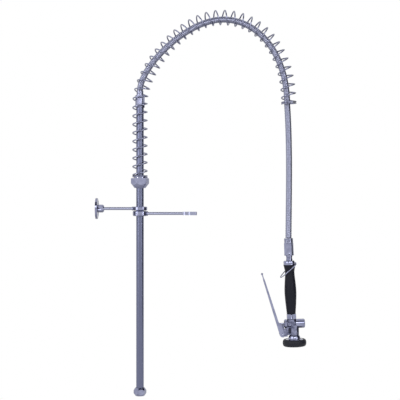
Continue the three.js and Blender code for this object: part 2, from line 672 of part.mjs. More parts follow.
const at = (x, z) => new THREE.Vector3(x, 0, z);
const bezier = (...points) => new THREE.CubicBezierCurve3(...points.map(([x, z]) => at(x, z)));

// Up from a start over the apex and down to an end, in the plane of the arch.
function archRoute(start, bendStart, apex, end, pulls) {
  const route = new THREE.CurvePath();
  const [rise, left, right, fall] = pulls;
  const [[bx, bz], [ax, az], [ex, ez]] = [bendStart, apex, end];
  route.add(new THREE.LineCurve3(at(...start), at(bx, bz)));
  route.add(bezier([bx, bz], [bx, bz + rise], [ax - left, az], [ax, az]));
  route.add(bezier([ax, az], [ax + right, az], [ex, ez + fall], [ex, ez]));
  return route;
}

// A helix round a route, with closed turns at both ends.
class Coil extends THREE.Curve {
  constructor(route, radius, turns, closedTurns, closedPitch) {
    super();
    const length = route.getLength();
    this.arcLengthDivisions = 24 * Math.ceil(turns + 2 * closedTurns);
    this.turnCount = turns + 2 * closedTurns;
    this.closedLength = closedTurns * closedPitch;
    Object.assign(this, { route, radius, turns, closedTurns, closedPitch, length });
    this.pitch = (length - 2 * this.closedLength) / turns;
  }

  // Distance along the route after a number of turns.
  advance(turn) {
    const left = this.turnCount - turn;
    if (turn < this.closedTurns) return turn * this.closedPitch;
    if (left < this.closedTurns) return this.length - left * this.closedPitch;
    return this.closedLength + (turn - this.closedTurns) * this.pitch;
  }

  getPoint(t, target = new THREE.Vector3()) {
    const turn = t * this.turnCount;
    const along = THREE.MathUtils.clamp(this.advance(turn) / this.length, 0, 1);
    const centre = this.route.getPointAt(along);
    const tangent = this.route.getTangentAt(along);
    const across = new THREE.Vector3(tangent.z, 0, -tangent.x);
    const angle = 2 * Math.PI * turn;
    target.copy(centre).addScaledVector(across, this.radius * Math.cos(angle));
    target.y += this.radius * Math.sin(angle);
    return target;
  }
}

const closedPitch = SPRING_WIRE + GAP + COIL_PLAY;
const springStart = seatTop + GAP + SPRING_WIRE / 2;
const springRadius = (SPRING_DIAMETER - SPRING_WIRE) / 2;
const springPulls = [ARCH_RISE_PULL, ARCH_APEX_PULL_LEFT, ARCH_APEX_PULL_RIGHT, ARCH_FALL_PULL];
const springRoute = archRoute(
  [0, springStart],
  [0, SPRING_BEND_START],
  [ARCH_APEX_X, ARCH_APEX_Z],
  [ARCH_END_X, ARCH_END_Z],
  springPulls,
);

function supportSpring() {
  const coil = new Coil(springRoute, springRadius, SPRING_TURNS, SPRING_CLOSED_TURNS, closedPitch);
  const steps = Math.round(coil.turnCount * SPRING_STEPS_PER_TURN);
  return sweep(coil, SPRING_WIRE, steps, SPRING_WIRE_SIDES);
}

// The hose leans on the inner side of the arch and hangs free below the spring's end.
const hoseArchStart = ferruleTop + GAP;
const hoseX = ARCH_END_X - HOSE_INSET;
const hoseRoute = archRoute(
  [0, hoseArchStart],
  [0, hoseArchStart + HOSE_STRAIGHT],
  [ARCH_APEX_X + HOSE_INSET, ARCH_APEX_Z - HOSE_APEX_DROP],
  [hoseX, ARCH_END_Z],
  [HOSE_RISE_PULL, ARCH_APEX_PULL_LEFT - HOSE_INSET, ARCH_APEX_PULL_RIGHT, ARCH_FALL_PULL],
);

function hoseInSpring() {
  const steps = Math.round(hoseRoute.getLength() / (2 * HOSE_DIAMETER));
  return sweep(hoseRoute, HOSE_DIAMETER, steps, HOSE_SIDES);
}

// The free length of the hose, from the spring's end down to the gun's ferrule.
function hoseDrop() {
  const top = ARCH_END_Z - HOSE_JOINT_GAP;
  const bottom = HOSE_END_Z + HOSE_JOINT_GAP;
  const route = new THREE.CubicBezierCurve3(
    at(hoseX, top),
    at(hoseX + HOSE_BOW, top - HOSE_DROP_PULL),
    at(GUN_X + HOSE_DROP_LEAN, bottom + HOSE_DROP_PULL),
    at(GUN_X, bottom),
  );
  return sweep(route, HOSE_DIAMETER, HOSE_DROP_STEPS, HOSE_SIDES);
}

place('support_spring', supportSpring(), springSteel());
place('hose_in_spring', hoseInSpring(), stainless());
place('hose_drop', hoseDrop(), stainless());

// ---- Spray gun: hose joint and handle --------------------------------------------------

const gun = new THREE.Group();
gun.position.set(GUN_X, 0, HOSE_END_Z);
gun.rotation.y = -rad(GUN_LEAN);
faucet.add(gun);

// Profiles of the gun are drawn by [diameter, depth below the gun's top].
const turnedDown = (profile, sides) => turned(profile.map(([d, depth]) => [d / 2, -depth]), sides);
const rodDown = (diameter, from, to, sides) => rod(diameter, -to, -from, sides);
const ringDown = (outer, inner, from, to, sides) => ring(outer, inner, -to, -from, sides);

const swivelNutTop = END_FERRULE_LENGTH + GAP;
const swivelNutEnd = swivelNutTop + SWIVEL_NUT_LENGTH;
const ferruleHeadTop = swivelNutTop + SWIVEL_NUT_UPPER_LIP + GAP;
const ferruleHeadEnd = ferruleHeadTop + END_FERRULE_HEAD_LENGTH;
const sealTop = ferruleHeadEnd + GAP;
const spigotTop = sealTop + SEAL_THICKNESS + GAP;
const swivelLip = swivelNutEnd - SWIVEL_NUT_LOWER_LIP;
const collarTop = swivelNutEnd + SPIGOT_FREE_LENGTH;
const collarBottom = collarTop + GUN_COLLAR_HEIGHT;
const ringPivotDepth = collarBottom - RING_PIVOT_RISE;
const gripTop = collarBottom + GAP;
const gripBottom = gripTop + GRIP_LENGTH;
const tubeTop = collarBottom - TUBE_COLLAR_SEAT;
const neckNutTop = gripBottom + GAP;
const ringFlat = RING_PIVOT_X - RING_WIRE / 2 - RING_FLAT_PLAY;
const neckNutBottom = neckNutTop + NECK_NUT_HEIGHT;

// Crimped lower end of the hose; its head is trapped in the swivel nut.
function endFerrule() {
  const [sleeve, neck, head] = [END_FERRULE_DIAMETER, END_FERRULE_NECK, SPIGOT_HEAD_DIAMETER];
  const profile = [[HOSE_BORE, 0], [sleeve - 2 * END_FERRULE_EDGE, 0], [sleeve, END_FERRULE_EDGE]];
  profile.push([sleeve, END_FERRULE_LENGTH], [neck, END_FERRULE_LENGTH]);
  profile.push([neck, ferruleHeadTop], [head, ferruleHeadTop]);
  profile.push([head, ferruleHeadEnd], [HOSE_BORE, ferruleHeadEnd], [HOSE_BORE, 0]);
  return turnedDown(profile);
}

function swivelNut() {
  const end = swivelNutEnd;
  const ends = [2 * SWIVEL_NUT_FLATS, SWIVEL_NUT_FLATS];
  const nut = hexagon(SWIVEL_NUT_FLATS, -end, -swivelNutTop, ends, [0, EDGE], FLAT_UP);
  const [rim, flareTop] = [SWIVEL_NUT_RIM, end - SWIVEL_NUT_RIM_HEIGHT];
  const outline = [[0, end], [rim - 2 * SWIVEL_NUT_RIM_EDGE, end], [rim, end - EDGE]];
  outline.push([rim, end - EDGE - SWIVEL_NUT_RIM_BAND], [SWIVEL_NUT_FLATS, flareTop], [0, flareTop]);
  const flare = turnedDown(outline);
  const cavity = rodDown(SPIGOT_HEAD_DIAMETER + 2 * GAP, swivelNutTop + SWIVEL_NUT_UPPER_LIP, swivelLip);
  const mouth = rodDown(END_FERRULE_NECK + 2 * GAP, swivelNutTop - OVERCUT, swivelLip);
  const exit = rodDown(SPIGOT_DIAMETER + 2 * GAP, swivelLip - OVERCUT, end + OVERCUT);
  return cut(union(nut, solid(flare)), solid(cavity), solid(mouth), solid(exit));
}

// The swivel spigot turns in the nut and screws into the handle's collar.
function swivelSpigot() {
  const [head, neck, bore] = [SPIGOT_HEAD_DIAMETER, SPIGOT_DIAMETER, SPIGOT_BORE];
  const screw = SPIGOT_SCREW_DIAMETER;
  const headEnd = swivelLip - GAP;
  const end = collarTop + SPIGOT_SCREW_LENGTH;
  const headTop = headEnd - SPIGOT_HEAD_LENGTH;
  const tip = neck - SPIGOT_TOP_PLAY;
  const profile = [[bore, spigotTop], [tip, spigotTop], [tip, headTop]];
  profile.push([head, headTop], [head, headEnd], [neck, headEnd]);
  profile.push([neck, collarTop - GAP], [screw, collarTop - GAP], [screw, end], [bore, end]);
  profile.push([bore, spigotTop]);
  return turnedDown(profile);
}

const swivelSeal = () =>
  ringDown(SPIGOT_HEAD_DIAMETER - 2 * GAP, HOSE_BORE, sealTop, sealTop + SEAL_THICKNESS);

// The collar caps the grip. A flat on its far side has a drilled lug for the hold-open ring.
function topCollar() {
  const d = GUN_COLLAR_DIAMETER;
  const [top, end] = [collarTop, collarBottom];
  const outline = [[0, top], [d - 2 * GUN_COLLAR_BEVEL_WIDTH, top], [d, top + GUN_COLLAR_BEVEL_HEIGHT]];
  outline.push([d, end], [0, end]);
  const [pivotX, pivotDepth] = [RING_PIVOT_X, ringPivotDepth];
  const [width, height] = [RING_LUG_WIDTH, RING_LUG_WEB_HEIGHT];
  const flat = box(d, d, 3 * GUN_COLLAR_HEIGHT, ringFlat + d / 2, 0, -(top + end) / 2);
  const lug = alongFront(rod(RING_LUG_DIAMETER, -width / 2, width / 2, SMALL_SIDES));
  const web = box(pivotX - d / 4, width, height, (pivotX + d / 4) / 2, 0, -pivotDepth);
  const eye = alongFront(rod(RING_WIRE + 2 * RING_EYE_PLAY, -width, width, SMALL_SIDES));
  const flattened = cut(solid(turnedDown(outline)), solid(flat));
  const thread = rodDown(SPIGOT_SCREW_DIAMETER + 2 * GAP, top - OVERCUT, top + SPIGOT_SCREW_LENGTH + GAP);
  const way = rodDown(SPIGOT_BORE, top, end + OVERCUT);
  const socket = rodDown(HANDLE_TUBE_DIAMETER + 2 * GAP, tubeTop - GAP, end + OVERCUT);
  return cut(
    union(flattened, solid(lug.translate(pivotX, 0, -pivotDepth)), solid(web)),
    solid(eye.translate(pivotX, 0, -pivotDepth)),
    solid(thread),
    solid(way),
    solid(socket),
  );
}

const handleTube = () =>
  ringDown(HANDLE_TUBE_DIAMETER, HANDLE_BORE, tubeTop, neckNutBottom + TUBE_SEAT);

// The moulded grip: wide under the collar, waisted for the fingers, full in the palm.
function grip() {
  const [top, end] = [gripTop, gripBottom];
  const [waistDepth, bulgeDepth] = [top + GRIP_WAIST_DROP, top + GRIP_BULGE_DROP];
  const spline = new THREE.SplineCurve([
    new THREE.Vector2(GRIP_TOP_DIAMETER / 2, top),
    new THREE.Vector2(GRIP_WAIST_DIAMETER / 2 + GRIP_WAIST_FLARE, waistDepth - GRIP_WAIST_LENGTH),
    new THREE.Vector2(GRIP_WAIST_DIAMETER / 2, waistDepth),
    new THREE.Vector2(GRIP_BULGE_DIAMETER / 2, bulgeDepth),
    new THREE.Vector2(GRIP_END_DIAMETER / 2, end),
  ]);
  const bore = HANDLE_TUBE_DIAMETER / 2 + GAP;
  const side = spline.getPoints(GRIP_RINGS).map((p) => [2 * p.x, p.y]);
  return turnedDown([[2 * bore, top], ...side, [2 * bore, end], [2 * bore, top]], GRIP_SIDES);
}

function neckNut() {
  const ends = [NECK_NUT_FLATS, NECK_NUT_FLATS];
  const nut = hexagon(NECK_NUT_FLATS, -neckNutBottom, -neckNutTop, ends, [EDGE, EDGE]);
  const way = rodDown(HANDLE_TUBE_DIAMETER + 2 * GAP, neckNutTop - OVERCUT, neckNutBottom + OVERCUT);
  return cut(nut, solid(way));
}

place('hose_end_ferrule', endFerrule(), stainless(), gun);
place('swivel_nut', swivelNut(), chrome(), gun);
place('swivel_seal', swivelSeal(), blackRubber(), gun);
place('swivel_spigot', swivelSpigot(), chrome(), gun);
place('top_collar', topCollar(), chrome(), gun);
place('handle_tube', handleTube(), brass(), gun);
place('grip', grip(), blackRubber(), gun);
place('neck_nut', neckNut(), chrome(), gun);

// ---- Spray gun: valve ------------------------------------------------------------------

const bodyTop = neckNutBottom + GAP;
const valveAxisDepth = bodyTop + INLET_HEIGHT;
const outletEnd = valveAxisDepth + OUTLET_HEIGHT;
const lugEnd = outletEnd - LUG_STEP;
const pivotDepth = lugEnd - PIVOT_RISE;
const valveZ = -valveAxisDepth;
const onValveAxis = (geometry) => alongX(geometry).translate(0, 0, valveZ);
const threadEnd = VALVE_BARREL_RIGHT + SPIGOT_THREAD_LENGTH;
const bonnetStart = VALVE_BARREL_RIGHT + BONNET_RING_THICKNESS + 2 * GAP;
const discStart = SEAT_FACE_X + GAP;
const discEnd = discStart + DISC_THICKNESS;
const headStart = discEnd + GAP;
const headEnd = headStart + STEM_HEAD_LENGTH;
const springRoom = BONNET_END - BONNET_END_WALL;
const packingSealStart = -VALVE_BARREL_LEFT + GAP;
const packingNutStart = -VALVE_BARREL_LEFT - GAP - PACKING_NUT_LENGTH;
const pivotZ = -pivotDepth;

// Solid shapes of the casting, before the water ways are bored.
function valveCasting() {
  const inlet = rodDown(INLET_DIAMETER, bodyTop, valveAxisDepth + INLET_OVERLAP);
  const outlet = rodDown(OUTLET_DIAMETER, valveAxisDepth - INLET_OVERLAP, outletEnd);
  const barrel = onValveAxis(rod(VALVE_BARREL_DIAMETER, -VALVE_BARREL_LEFT, VALVE_BARREL_RIGHT));
  const thread = onValveAxis(rod(SPIGOT_THREAD_DIAMETER, 0, threadEnd));
  const lugHeight = lugEnd - valveAxisDepth;
  const lugX = -(LUG_LEFT + LUG_RIGHT) / 2;
  const lugZ = -(valveAxisDepth + lugEnd) / 2;
  const nutReach = PACKING_NUT_FLATS / Math.sqrt(3) + 2 * GAP;
  const lug = box(LUG_LEFT - LUG_RIGHT, LUG_WIDTH, lugHeight, lugX, 0, lugZ);
  const nutRoom = onValveAxis(rod(2 * nutReach, -2 * LUG_LEFT, -VALVE_BARREL_LEFT));
  const ear = alongFront(rod(2 * EAR_RADIUS, -EAR_WIDTH / 2, EAR_WIDTH / 2, SMALL_SIDES));
  const webRight = GRIP_DEPTH - LUG_LEFT;
  const webHeight = 2 * EAR_RADIUS * Math.cos(Math.PI / SMALL_SIDES);
  const web = box(webRight - PIVOT_X, EAR_WIDTH, webHeight, (PIVOT_X + webRight) / 2, 0, pivotZ);
  const boss = alongFront(rod(FRONT_BOSS_DIAMETER, 0, FRONT_BOSS_REACH, SMALL_SIDES));
  const lugBody = cut(solid(lug), solid(nutRoom));
  const bonnetRoom = onValveAxis(rod(BONNET_DIAMETER + 2 * BONNET_PLAY, VALVE_BARREL_RIGHT, 2 * BONNET_END));
  return union(
    cut(union(solid(inlet), solid(outlet.translate(OUTLET_OFFSET, 0, 0))), solid(bonnetRoom)),
    solid(barrel),
    solid(thread),
    lugBody,
    solid(ear.translate(PIVOT_X, 0, pivotZ)),
    solid(web),
    solid(boss.translate(FRONT_BOSS_X, 0, valveZ)),
  );
}

// An upright slot with round ends, cut into both faces of the lug.
function lugPocket(side) {
  const straight = (POCKET_HEIGHT - POCKET_WIDTH) / 2;
  const outline = new THREE.Shape();
  outline.absarc(0, straight, POCKET_WIDTH / 2, 0, Math.PI, false);
  outline.absarc(0, -straight, POCKET_WIDTH / 2, Math.PI, 2 * Math.PI, false);
  const settings = { depth: 2 * POCKET_DEEP, bevelEnabled: false, curveSegments: POCKET_CURVE_STEPS };
  const pocket = new THREE.ExtrudeGeometry(outline, settings);
  pocket.translate(0, 0, -POCKET_DEEP).rotateX(Math.PI / 2);
  return solid(pocket.translate(POCKET_X, (side * LUG_WIDTH) / 2, POCKET_RISE - lugEnd));
}

function valveBody() {
  const socketEnd = neckNutBottom + TUBE_SEAT + GAP;
  const tubeSocket = rodDown(HANDLE_TUBE_DIAMETER + 2 * GAP, bodyTop - OVERCUT, socketEnd);
  const inletWay = rodDown(INLET_BORE, bodyTop, valveAxisDepth);
  const chamber = onValveAxis(rod(INLET_CHAMBER_DIAMETER, -INLET_CHAMBER_REACH, SEAT_FACE_X - SEAT_RIM));
  const seatWay = onValveAxis(rod(SEAT_BORE, -INLET_CHAMBER_REACH, threadEnd));
  const springChamber = onValveAxis(rod(SPRING_CHAMBER_DIAMETER, SEAT_FACE_X, threadEnd + OVERCUT));
  const outletWay = rodDown(OUTLET_BORE, valveAxisDepth, outletEnd + OVERCUT);
  const stemWay = onValveAxis(rod(STEM_DIAMETER + 2 * GAP, -2 * VALVE_BARREL_LEFT, 0, SMALL_SIDES));
  const sealRoom = onValveAxis(rod(STEM_SEAL_DIAMETER + 2 * GAP, -2 * VALVE_BARREL_LEFT,
    packingSealStart + STEM_SEAL_THICKNESS + GAP));
  const pinHole = alongFront(rod(PIN_DIAMETER + 2 * GAP, -LUG_WIDTH, LUG_WIDTH, SMALL_SIDES));
  return cut(
    valveCasting(),
    solid(tubeSocket),
    solid(inletWay),
    solid(chamber),
    solid(seatWay),
    solid(springChamber),
    solid(outletWay.translate(OUTLET_OFFSET + OUTLET_BORE_SHIFT, 0, 0)),
    solid(stemWay),
    solid(sealRoom),
    solid(pinHole.translate(PIVOT_X, 0, pivotZ)),
    lugPocket(1),
    lugPocket(-1),
  );
}

// The bonnet screws onto the body over the valve spring.
function bonnet() {
  const [d, end] = [BONNET_DIAMETER, BONNET_END];
  const outline = [[0, bonnetStart], [d - 2 * BONNET_START_EDGE, bonnetStart]];
  outline.push([d, bonnetStart + BONNET_START_EDGE]);
  outline.push([d, end - BONNET_CHAMFER]);
  outline.push([d - 2 * BONNET_CHAMFER, end], [0, end]);
  const cup = solid(turned(outline.map(([a, b]) => [a / 2, b])));
  const thread = rod(SPIGOT_THREAD_DIAMETER + 2 * GAP, bonnetStart - OVERCUT, threadEnd + GAP);
  const room = rod(VALVE_SPRING_DIAMETER + 2 * VALVE_SPRING_PLAY, bonnetStart, springRoom);
  return onValveAxis(toGeometry(cut(cup, solid(thread), solid(room))));
}

const bonnetRing = () => onValveAxis(ring(
  BONNET_DIAMETER - 2 * BONNET_START_EDGE,
  SPIGOT_THREAD_DIAMETER + 2 * GAP,
  VALVE_BARREL_RIGHT + GAP,
  VALVE_BARREL_RIGHT + GAP + BONNET_RING_THICKNESS,
));

function packingNut() {
  const end = packingNutStart + PACKING_NUT_LENGTH;
  const ends = [PACKING_NUT_FLATS - 2 * EDGE, 2 * PACKING_NUT_FLATS];
  const nut = hexagon(PACKING_NUT_FLATS, packingNutStart, end, ends, [PACKING_NUT_CHAMFER, 0], FLAT_UP);
  const way = rod(STEM_DIAMETER + 2 * GAP, packingNutStart - OVERCUT, end + OVERCUT, SMALL_SIDES);
  return onValveAxis(toGeometry(cut(nut, solid(way))));
}

const stemSeal = () => onValveAxis(ring(
  STEM_SEAL_DIAMETER,
  STEM_DIAMETER + 2 * GAP,
  packingSealStart,
  packingSealStart + STEM_SEAL_THICKNESS,
  SMALL_SIDES,
));

// Inner face of the lever's web at the height of the stem, when the lever is released.
const stemAbovePivot = pivotDepth - valveAxisDepth;
const leverLean = rad(LEVER_LEAN);
const webOffset = LEVER_FOOT_LEFT - LEVER_SHEET;
const webFaceX = PIVOT_X - stemAbovePivot * Math.tan(leverLean) - webOffset / Math.cos(leverLean);
const stemTip = (STEM_DIAMETER / 2) * Math.tan(leverLean); // the round nose clears the leaning web

function valveStem() {
  const start = webFaceX + GAP + stemTip;
  const r = STEM_DIAMETER / 2;
  const outline = [[0, start], [r - EDGE, start], [r, start + EDGE], [r, headStart]];
  outline.push([STEM_HEAD_DIAMETER / 2, headStart], [STEM_HEAD_DIAMETER / 2, headEnd]);
  outline.push([r, headEnd], [r, headEnd + STEM_HEAD_SPIGOT], [0, headEnd + STEM_HEAD_SPIGOT]);
  return onValveAxis(turned(outline, SMALL_SIDES));
}

const valveDisc = () =>
  onValveAxis(ring(DISC_DIAMETER, STEM_DIAMETER + 2 * GAP, discStart, discEnd));

function valveSpring() {
  const wire = VALVE_SPRING_WIRE;
  const [start, end] = [headEnd + GAP + wire / 2, springRoom - GAP - wire / 2];
  const route = new THREE.CurvePath();
  route.add(new THREE.LineCurve3(new THREE.Vector3(start, 0, valveZ), new THREE.Vector3(end, 0, valveZ)));
  const radius = (VALVE_SPRING_DIAMETER - wire) / 2;
  const coil = new Coil(route, radius, VALVE_SPRING_TURNS, VALVE_SPRING_CLOSED_TURNS, wire + GAP);
  return sweep(coil, wire, Math.round(coil.turnCount * VALVE_SPRING_STEPS_PER_TURN), VALVE_SPRING_SIDES);
}

place('valve_body', valveBody(), chrome(), gun);
place('bonnet', bonnet(), chrome(), gun);
place('bonnet_ring', bonnetRing(), blackRubber(), gun);
place('packing_nut', packingNut(), chrome(), gun);
place('stem_seal', stemSeal(), blackRubber(), gun);
place('valve_stem', valveStem(), stainless(), gun);
place('valve_disc', valveDisc(), blackRubber(), gun);
place('valve_spring', valveSpring(), springSteel(), gun);

// ---- Spray gun: lever and hold-open ring -------------------------------------------------

// Side view of the lever, pivot at the origin and arm up Z: a shield-shaped foot whose back
// runs on as a narrow arm. inset narrows it for the hollow, which is open on the right.
function leverOutline(inset) {
  const left = inset - LEVER_FOOT_LEFT;
  const right = inset + LEVER_FOOT_RIGHT;
  const waist = inset + LEVER_WAIST_RIGHT;
  const swell = LEVER_FOOT_SWELL;
  const shape = new THREE.Shape();
  shape.moveTo(left, LEVER_ARM_START);
  shape.lineTo(left, 0);
  shape.quadraticCurveTo(left, -swell, inset ? left : 0, -LEVER_FOOT_POINT);
  shape.quadraticCurveTo(right, -swell, right, LEVER_CHEEK_SHOULDER / 2);
  shape.lineTo(right, LEVER_CHEEK_SHOULDER);
  shape.lineTo(waist, LEVER_CHEEK_WAIST);
  shape.lineTo(waist, LEVER_WAIST_TOP);
  shape.lineTo(left + LEVER_ARM_DEPTH, LEVER_ARM_START);
  shape.lineTo(left + LEVER_TIP_DEPTH, LEVER_CHANNEL_END + inset);
  shape.lineTo(left, LEVER_CHANNEL_END + inset);
  return shape;
}

// A pressed channel that straddles the ear, with a turned tip and ball.
function lever() {
  const settings = { bevelEnabled: false, curveSegments: LEVER_CURVE_STEPS };
  const extrude = (shape, depth) =>
    new THREE.ExtrudeGeometry(shape, { depth, ...settings }).translate(0, 0, -depth / 2).rotateX(Math.PI / 2);
  const inside = LEVER_WIDTH - 2 * LEVER_SHEET;
  const outer = extrude(leverOutline(0), LEVER_WIDTH);
  const inner = extrude(leverOutline(LEVER_SHEET), inside).translate(0, 0, -LEVER_SHEET);
  const webless = LEVER_FOOT_LEFT + GAP; // the web stops above the ear
  const below = box(4 * LEVER_FOOT_RIGHT, inside, 3 * webless, 0, 0, -webless / 2);
  const tipX = LEVER_TIP_DEPTH / 2 - LEVER_FOOT_LEFT;
  const neck = rod(LEVER_NECK_DIAMETER, LEVER_CHANNEL_END - GRIP_DEPTH, LEVER_LENGTH, SMALL_SIDES);
  const ball = new THREE.SphereGeometry(LEVER_BALL_DIAMETER / 2, SMALL_SIDES, SMALL_SIDES - 2);
  const pinHole = alongFront(rod(PIN_DIAMETER + 2 * GAP, -LEVER_WIDTH, LEVER_WIDTH, SMALL_SIDES));
  const channel = cut(solid(outer), solid(inner), solid(below));
  const body = union(
    cut(channel, solid(pinHole)),
    solid(neck.translate(tipX, 0, 0)),
    solid(ball.rotateX(Math.PI / 2).translate(tipX, 0, LEVER_LENGTH)),
  );
  return toGeometry(body).rotateY(-leverLean).translate(PIVOT_X, 0, pivotZ);
}

// A headed pin with a riveted collar at its far end.
function leverPin() {
  const half = LEVER_WIDTH / 2 + GAP;
  const head = half + PIN_HEAD_THICKNESS;
  const [shank, rim] = [PIN_DIAMETER, PIN_HEAD_DIAMETER];
  const face = rim - 2 * PIN_HEAD_EDGE;
  const outline = [[0, -head], [face, -head], [rim, -half], [shank, -half]];
  outline.push([shank, half], [rim, half], [face, head], [0, head]);
  const pin = turned(outline.map(([d, z]) => [d / 2, z]), SMALL_SIDES);
  return alongFront(pin).translate(PIVOT_X, 0, pivotZ);
}

// A closed wire loop: across through the lug's eye, wide round the grip, narrow at its end.
class RingCurve extends THREE.CurvePath {
  constructor() {
    super();
    const [half, tip, bend] = [RING_WIDTH / 2, RING_TIP_RADIUS, RING_BEND];
    const end = half - RING_TAPER;
    const side = RING_STRAIGHT;
    const reach = RING_LENGTH - tip;
    const points = (list) => list.map(([x, y]) => new THREE.Vector3(-x, y, 0));
    const turn = (...list) => this.add(new THREE.QuadraticBezierCurve3(...points(list)));
    const line = (...list) => this.add(new THREE.LineCurve3(...points(list)));
    const round = (...list) => this.add(new THREE.CubicBezierCurve3(...points(list)));
    line([0, bend - half], [0, half - bend]);
    turn([0, half - bend], [0, half], [bend, half]);
    line([bend, half], [side, end]);
    round([side, end], [reach, end - RING_TAPER], [RING_LENGTH, tip], [RING_LENGTH, 0]);
    round([RING_LENGTH, 0], [RING_LENGTH, -tip], [reach, RING_TAPER - end], [side, -end]);
    line([side, -end], [bend, -half]);
    turn([bend, -half], [0, -half], [0, bend - half]);
    this.closed = true;
  }
}

// A tube round a closed planar loop, its ends merged into one.
function closedTube(curve, diameter, steps, sides) {
  const torus = new THREE.TorusGeometry(1, 1, sides, steps);
  const position = torus.attributes.position;
  const columns = steps + 1;
  for (let i = 0; i < position.count; i += 1) {
    const along = (i % columns) / steps;
    const around = (2 * Math.PI * Math.floor(i / columns)) / sides;
    const centre = curve.getPointAt(along % 1);
    const tangent = curve.getTangentAt(along % 1);
    const across = new THREE.Vector3(tangent.y, -tangent.x, 0).normalize();
    centre.addScaledVector(across, (Math.cos(around) * diameter) / 2);
    position.setXYZ(i, centre.x, centre.y, centre.z + (Math.sin(around) * diameter) / 2);
  }
  return torus;
}

function holdOpenRing() {
  const loop = solid(closedTube(new RingCurve(), RING_WIRE, RING_STEPS, RING_SIDES));
  const geometry = toGeometry(loop).rotateX(rad(RING_ROLL)).rotateY(-rad(RING_DROP));
  return geometry.translate(RING_PIVOT_X, 0, -ringPivotDepth);
}

place('lever', lever(), chrome(), gun);
place('lever_pin', leverPin(), stainless(), gun);
place('hold_open_ring', holdOpenRing(), stainless(), gun);

// ---- Rose ------------------------------------------------------------------------------

const onRose = (geometry) => geometry.translate(OUTLET_OFFSET, 0, 0);
const roseTop = outletEnd + GAP;
const cupTop = outletEnd + ROSE_DOME_HEIGHT;
const roseBottom = cupTop + ROSE_CUP_HEIGHT;
const ceiling = cupTop + ROSE_WALL;
const plateTop = roseBottom - SPRAY_PLATE_THICKNESS;
const plateDiameter = ROSE_FLANGE_DIAMETER - 2 * ROSE_WALL - 2 * GAP;
const postEnd = plateTop - GAP;
const screwHeadTop = roseBottom + GAP;

// A domed shell over a shallow cup, with a post inside for the plate's screw.
function roseShell() {
  const [neck, dome, flange] = [ROSE_NECK_DIAMETER, ROSE_DOME_DIAMETER, ROSE_FLANGE_DIAMETER];
  const shoulder = cupTop - ROSE_FILLET;
  const outline = [[0, roseTop], [neck, roseTop]];
  outline.push([dome - 2 * ROSE_DOME_SWELL, roseTop + ROSE_DOME_HEIGHT / 3]);
  outline.push([dome, shoulder - ROSE_FILLET], [dome + ROSE_FILLET, shoulder]);
  outline.push([flange - 2 * ROSE_CUP_SLOPE, cupTop], [flange, cupTop + ROSE_FILLET]);
  outline.push([flange, roseBottom], [0, roseBottom]);
  const chamber = rodDown(flange - 2 * ROSE_WALL, ceiling, roseBottom + OVERCUT);
  const way = rodDown(OUTLET_BORE, roseTop - OVERCUT, ceiling + OVERCUT).translate(OUTLET_BORE_SHIFT, 0, 0);
  const post = rodDown(ROSE_POST_DIAMETER, ceiling - OVERCUT, postEnd, SMALL_SIDES);
  const hole = ROSE_SCREW_DIAMETER + 2 * GAP;
  const screwWay = rodDown(hole, ceiling + GRIP_DEPTH, postEnd + OVERCUT, SMALL_SIDES);
  const shell = cut(solid(turnedDown(outline)), solid(chamber));
  return onRose(toGeometry(cut(union(shell, solid(post)), solid(screwWay), solid(way))));
}

function sprayPlate() {
  const plate = solid(ring(plateDiameter, ROSE_SCREW_DIAMETER + 2 * GAP, -roseBottom, -plateTop));
  const holes = [];
  for (const [radius, count] of SPRAY_RINGS) {
    for (let k = 0; k < count; k += 1) {
      const angle = (2 * Math.PI * k) / count;
      const hole = rodDown(SPRAY_HOLE, plateTop - OVERCUT, roseBottom + OVERCUT, SPRAY_HOLE_SIDES);
      holes.push(solid(hole.translate(radius * Math.cos(angle), radius * Math.sin(angle), 0)));
    }
  }
  return onRose(toGeometry(cut(plate, ...holes)));
}

// A rubber tyre round the rose, with a lip under its edge.
function roseBumper() {
  const inner = ROSE_FLANGE_DIAMETER + 2 * GAP;
  const [top, end] = [cupTop + BUMPER_SHOULDER, roseBottom + GAP + BUMPER_LIP];
  const lipTop = roseBottom + GAP;
  const round = (end - top) / 2;
  const profile = [[inner, lipTop], [inner, top]];
  for (let k = 0; k <= BUMPER_RINGS; k += 1) {
    const angle = (Math.PI * k) / BUMPER_RINGS;
    const bulge = (BUMPER_THICKNESS - BUMPER_EDGE) * Math.sin(angle) ** BUMPER_ROUNDNESS;
    profile.push([inner + 2 * (BUMPER_EDGE + bulge), (top + end) / 2 - round * Math.cos(angle)]);
  }
  profile.push([inner - 2 * BUMPER_LIP, end], [inner - 2 * BUMPER_LIP, lipTop], [inner, lipTop]);
  return onRose(turnedDown(profile, BUMPER_SIDES));
}

function roseScrew() {
  const [shank, head] = [ROSE_SCREW_DIAMETER, ROSE_SCREW_HEAD];
  const start = ceiling + GRIP_DEPTH + GAP;
  const headEnd = screwHeadTop + ROSE_SCREW_HEAD_HEIGHT;
  const outline = [[0, start], [shank, start], [shank, screwHeadTop], [head, screwHeadTop]];
  outline.push([head - EDGE, headEnd], [0, headEnd]);
  const slot = box(head + OVERCUT, ROSE_SCREW_SLOT, 2 * ROSE_SCREW_SLOT, 0, 0, -headEnd);
  return onRose(toGeometry(cut(solid(turnedDown(outline, SMALL_SIDES)), solid(slot))));
}

place('rose_shell', roseShell(), chrome(), gun);
place('spray_plate', sprayPlate(), stainless(), gun);
place('rose_bumper', roseBumper(), blackRubber(), gun);
place('rose_screw', roseScrew(), stainless(), gun);

export default faucet;
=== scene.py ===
"""A pre rinse faucet: riser, wall bracket, gun hook, sprung hose arch and spray gun.
Metres, +Z up the riser, +X towards the gun; sizes in the sections are in millimetres."""
import json
import math

import bmesh
import bpy
from mathutils import Matrix, Vector


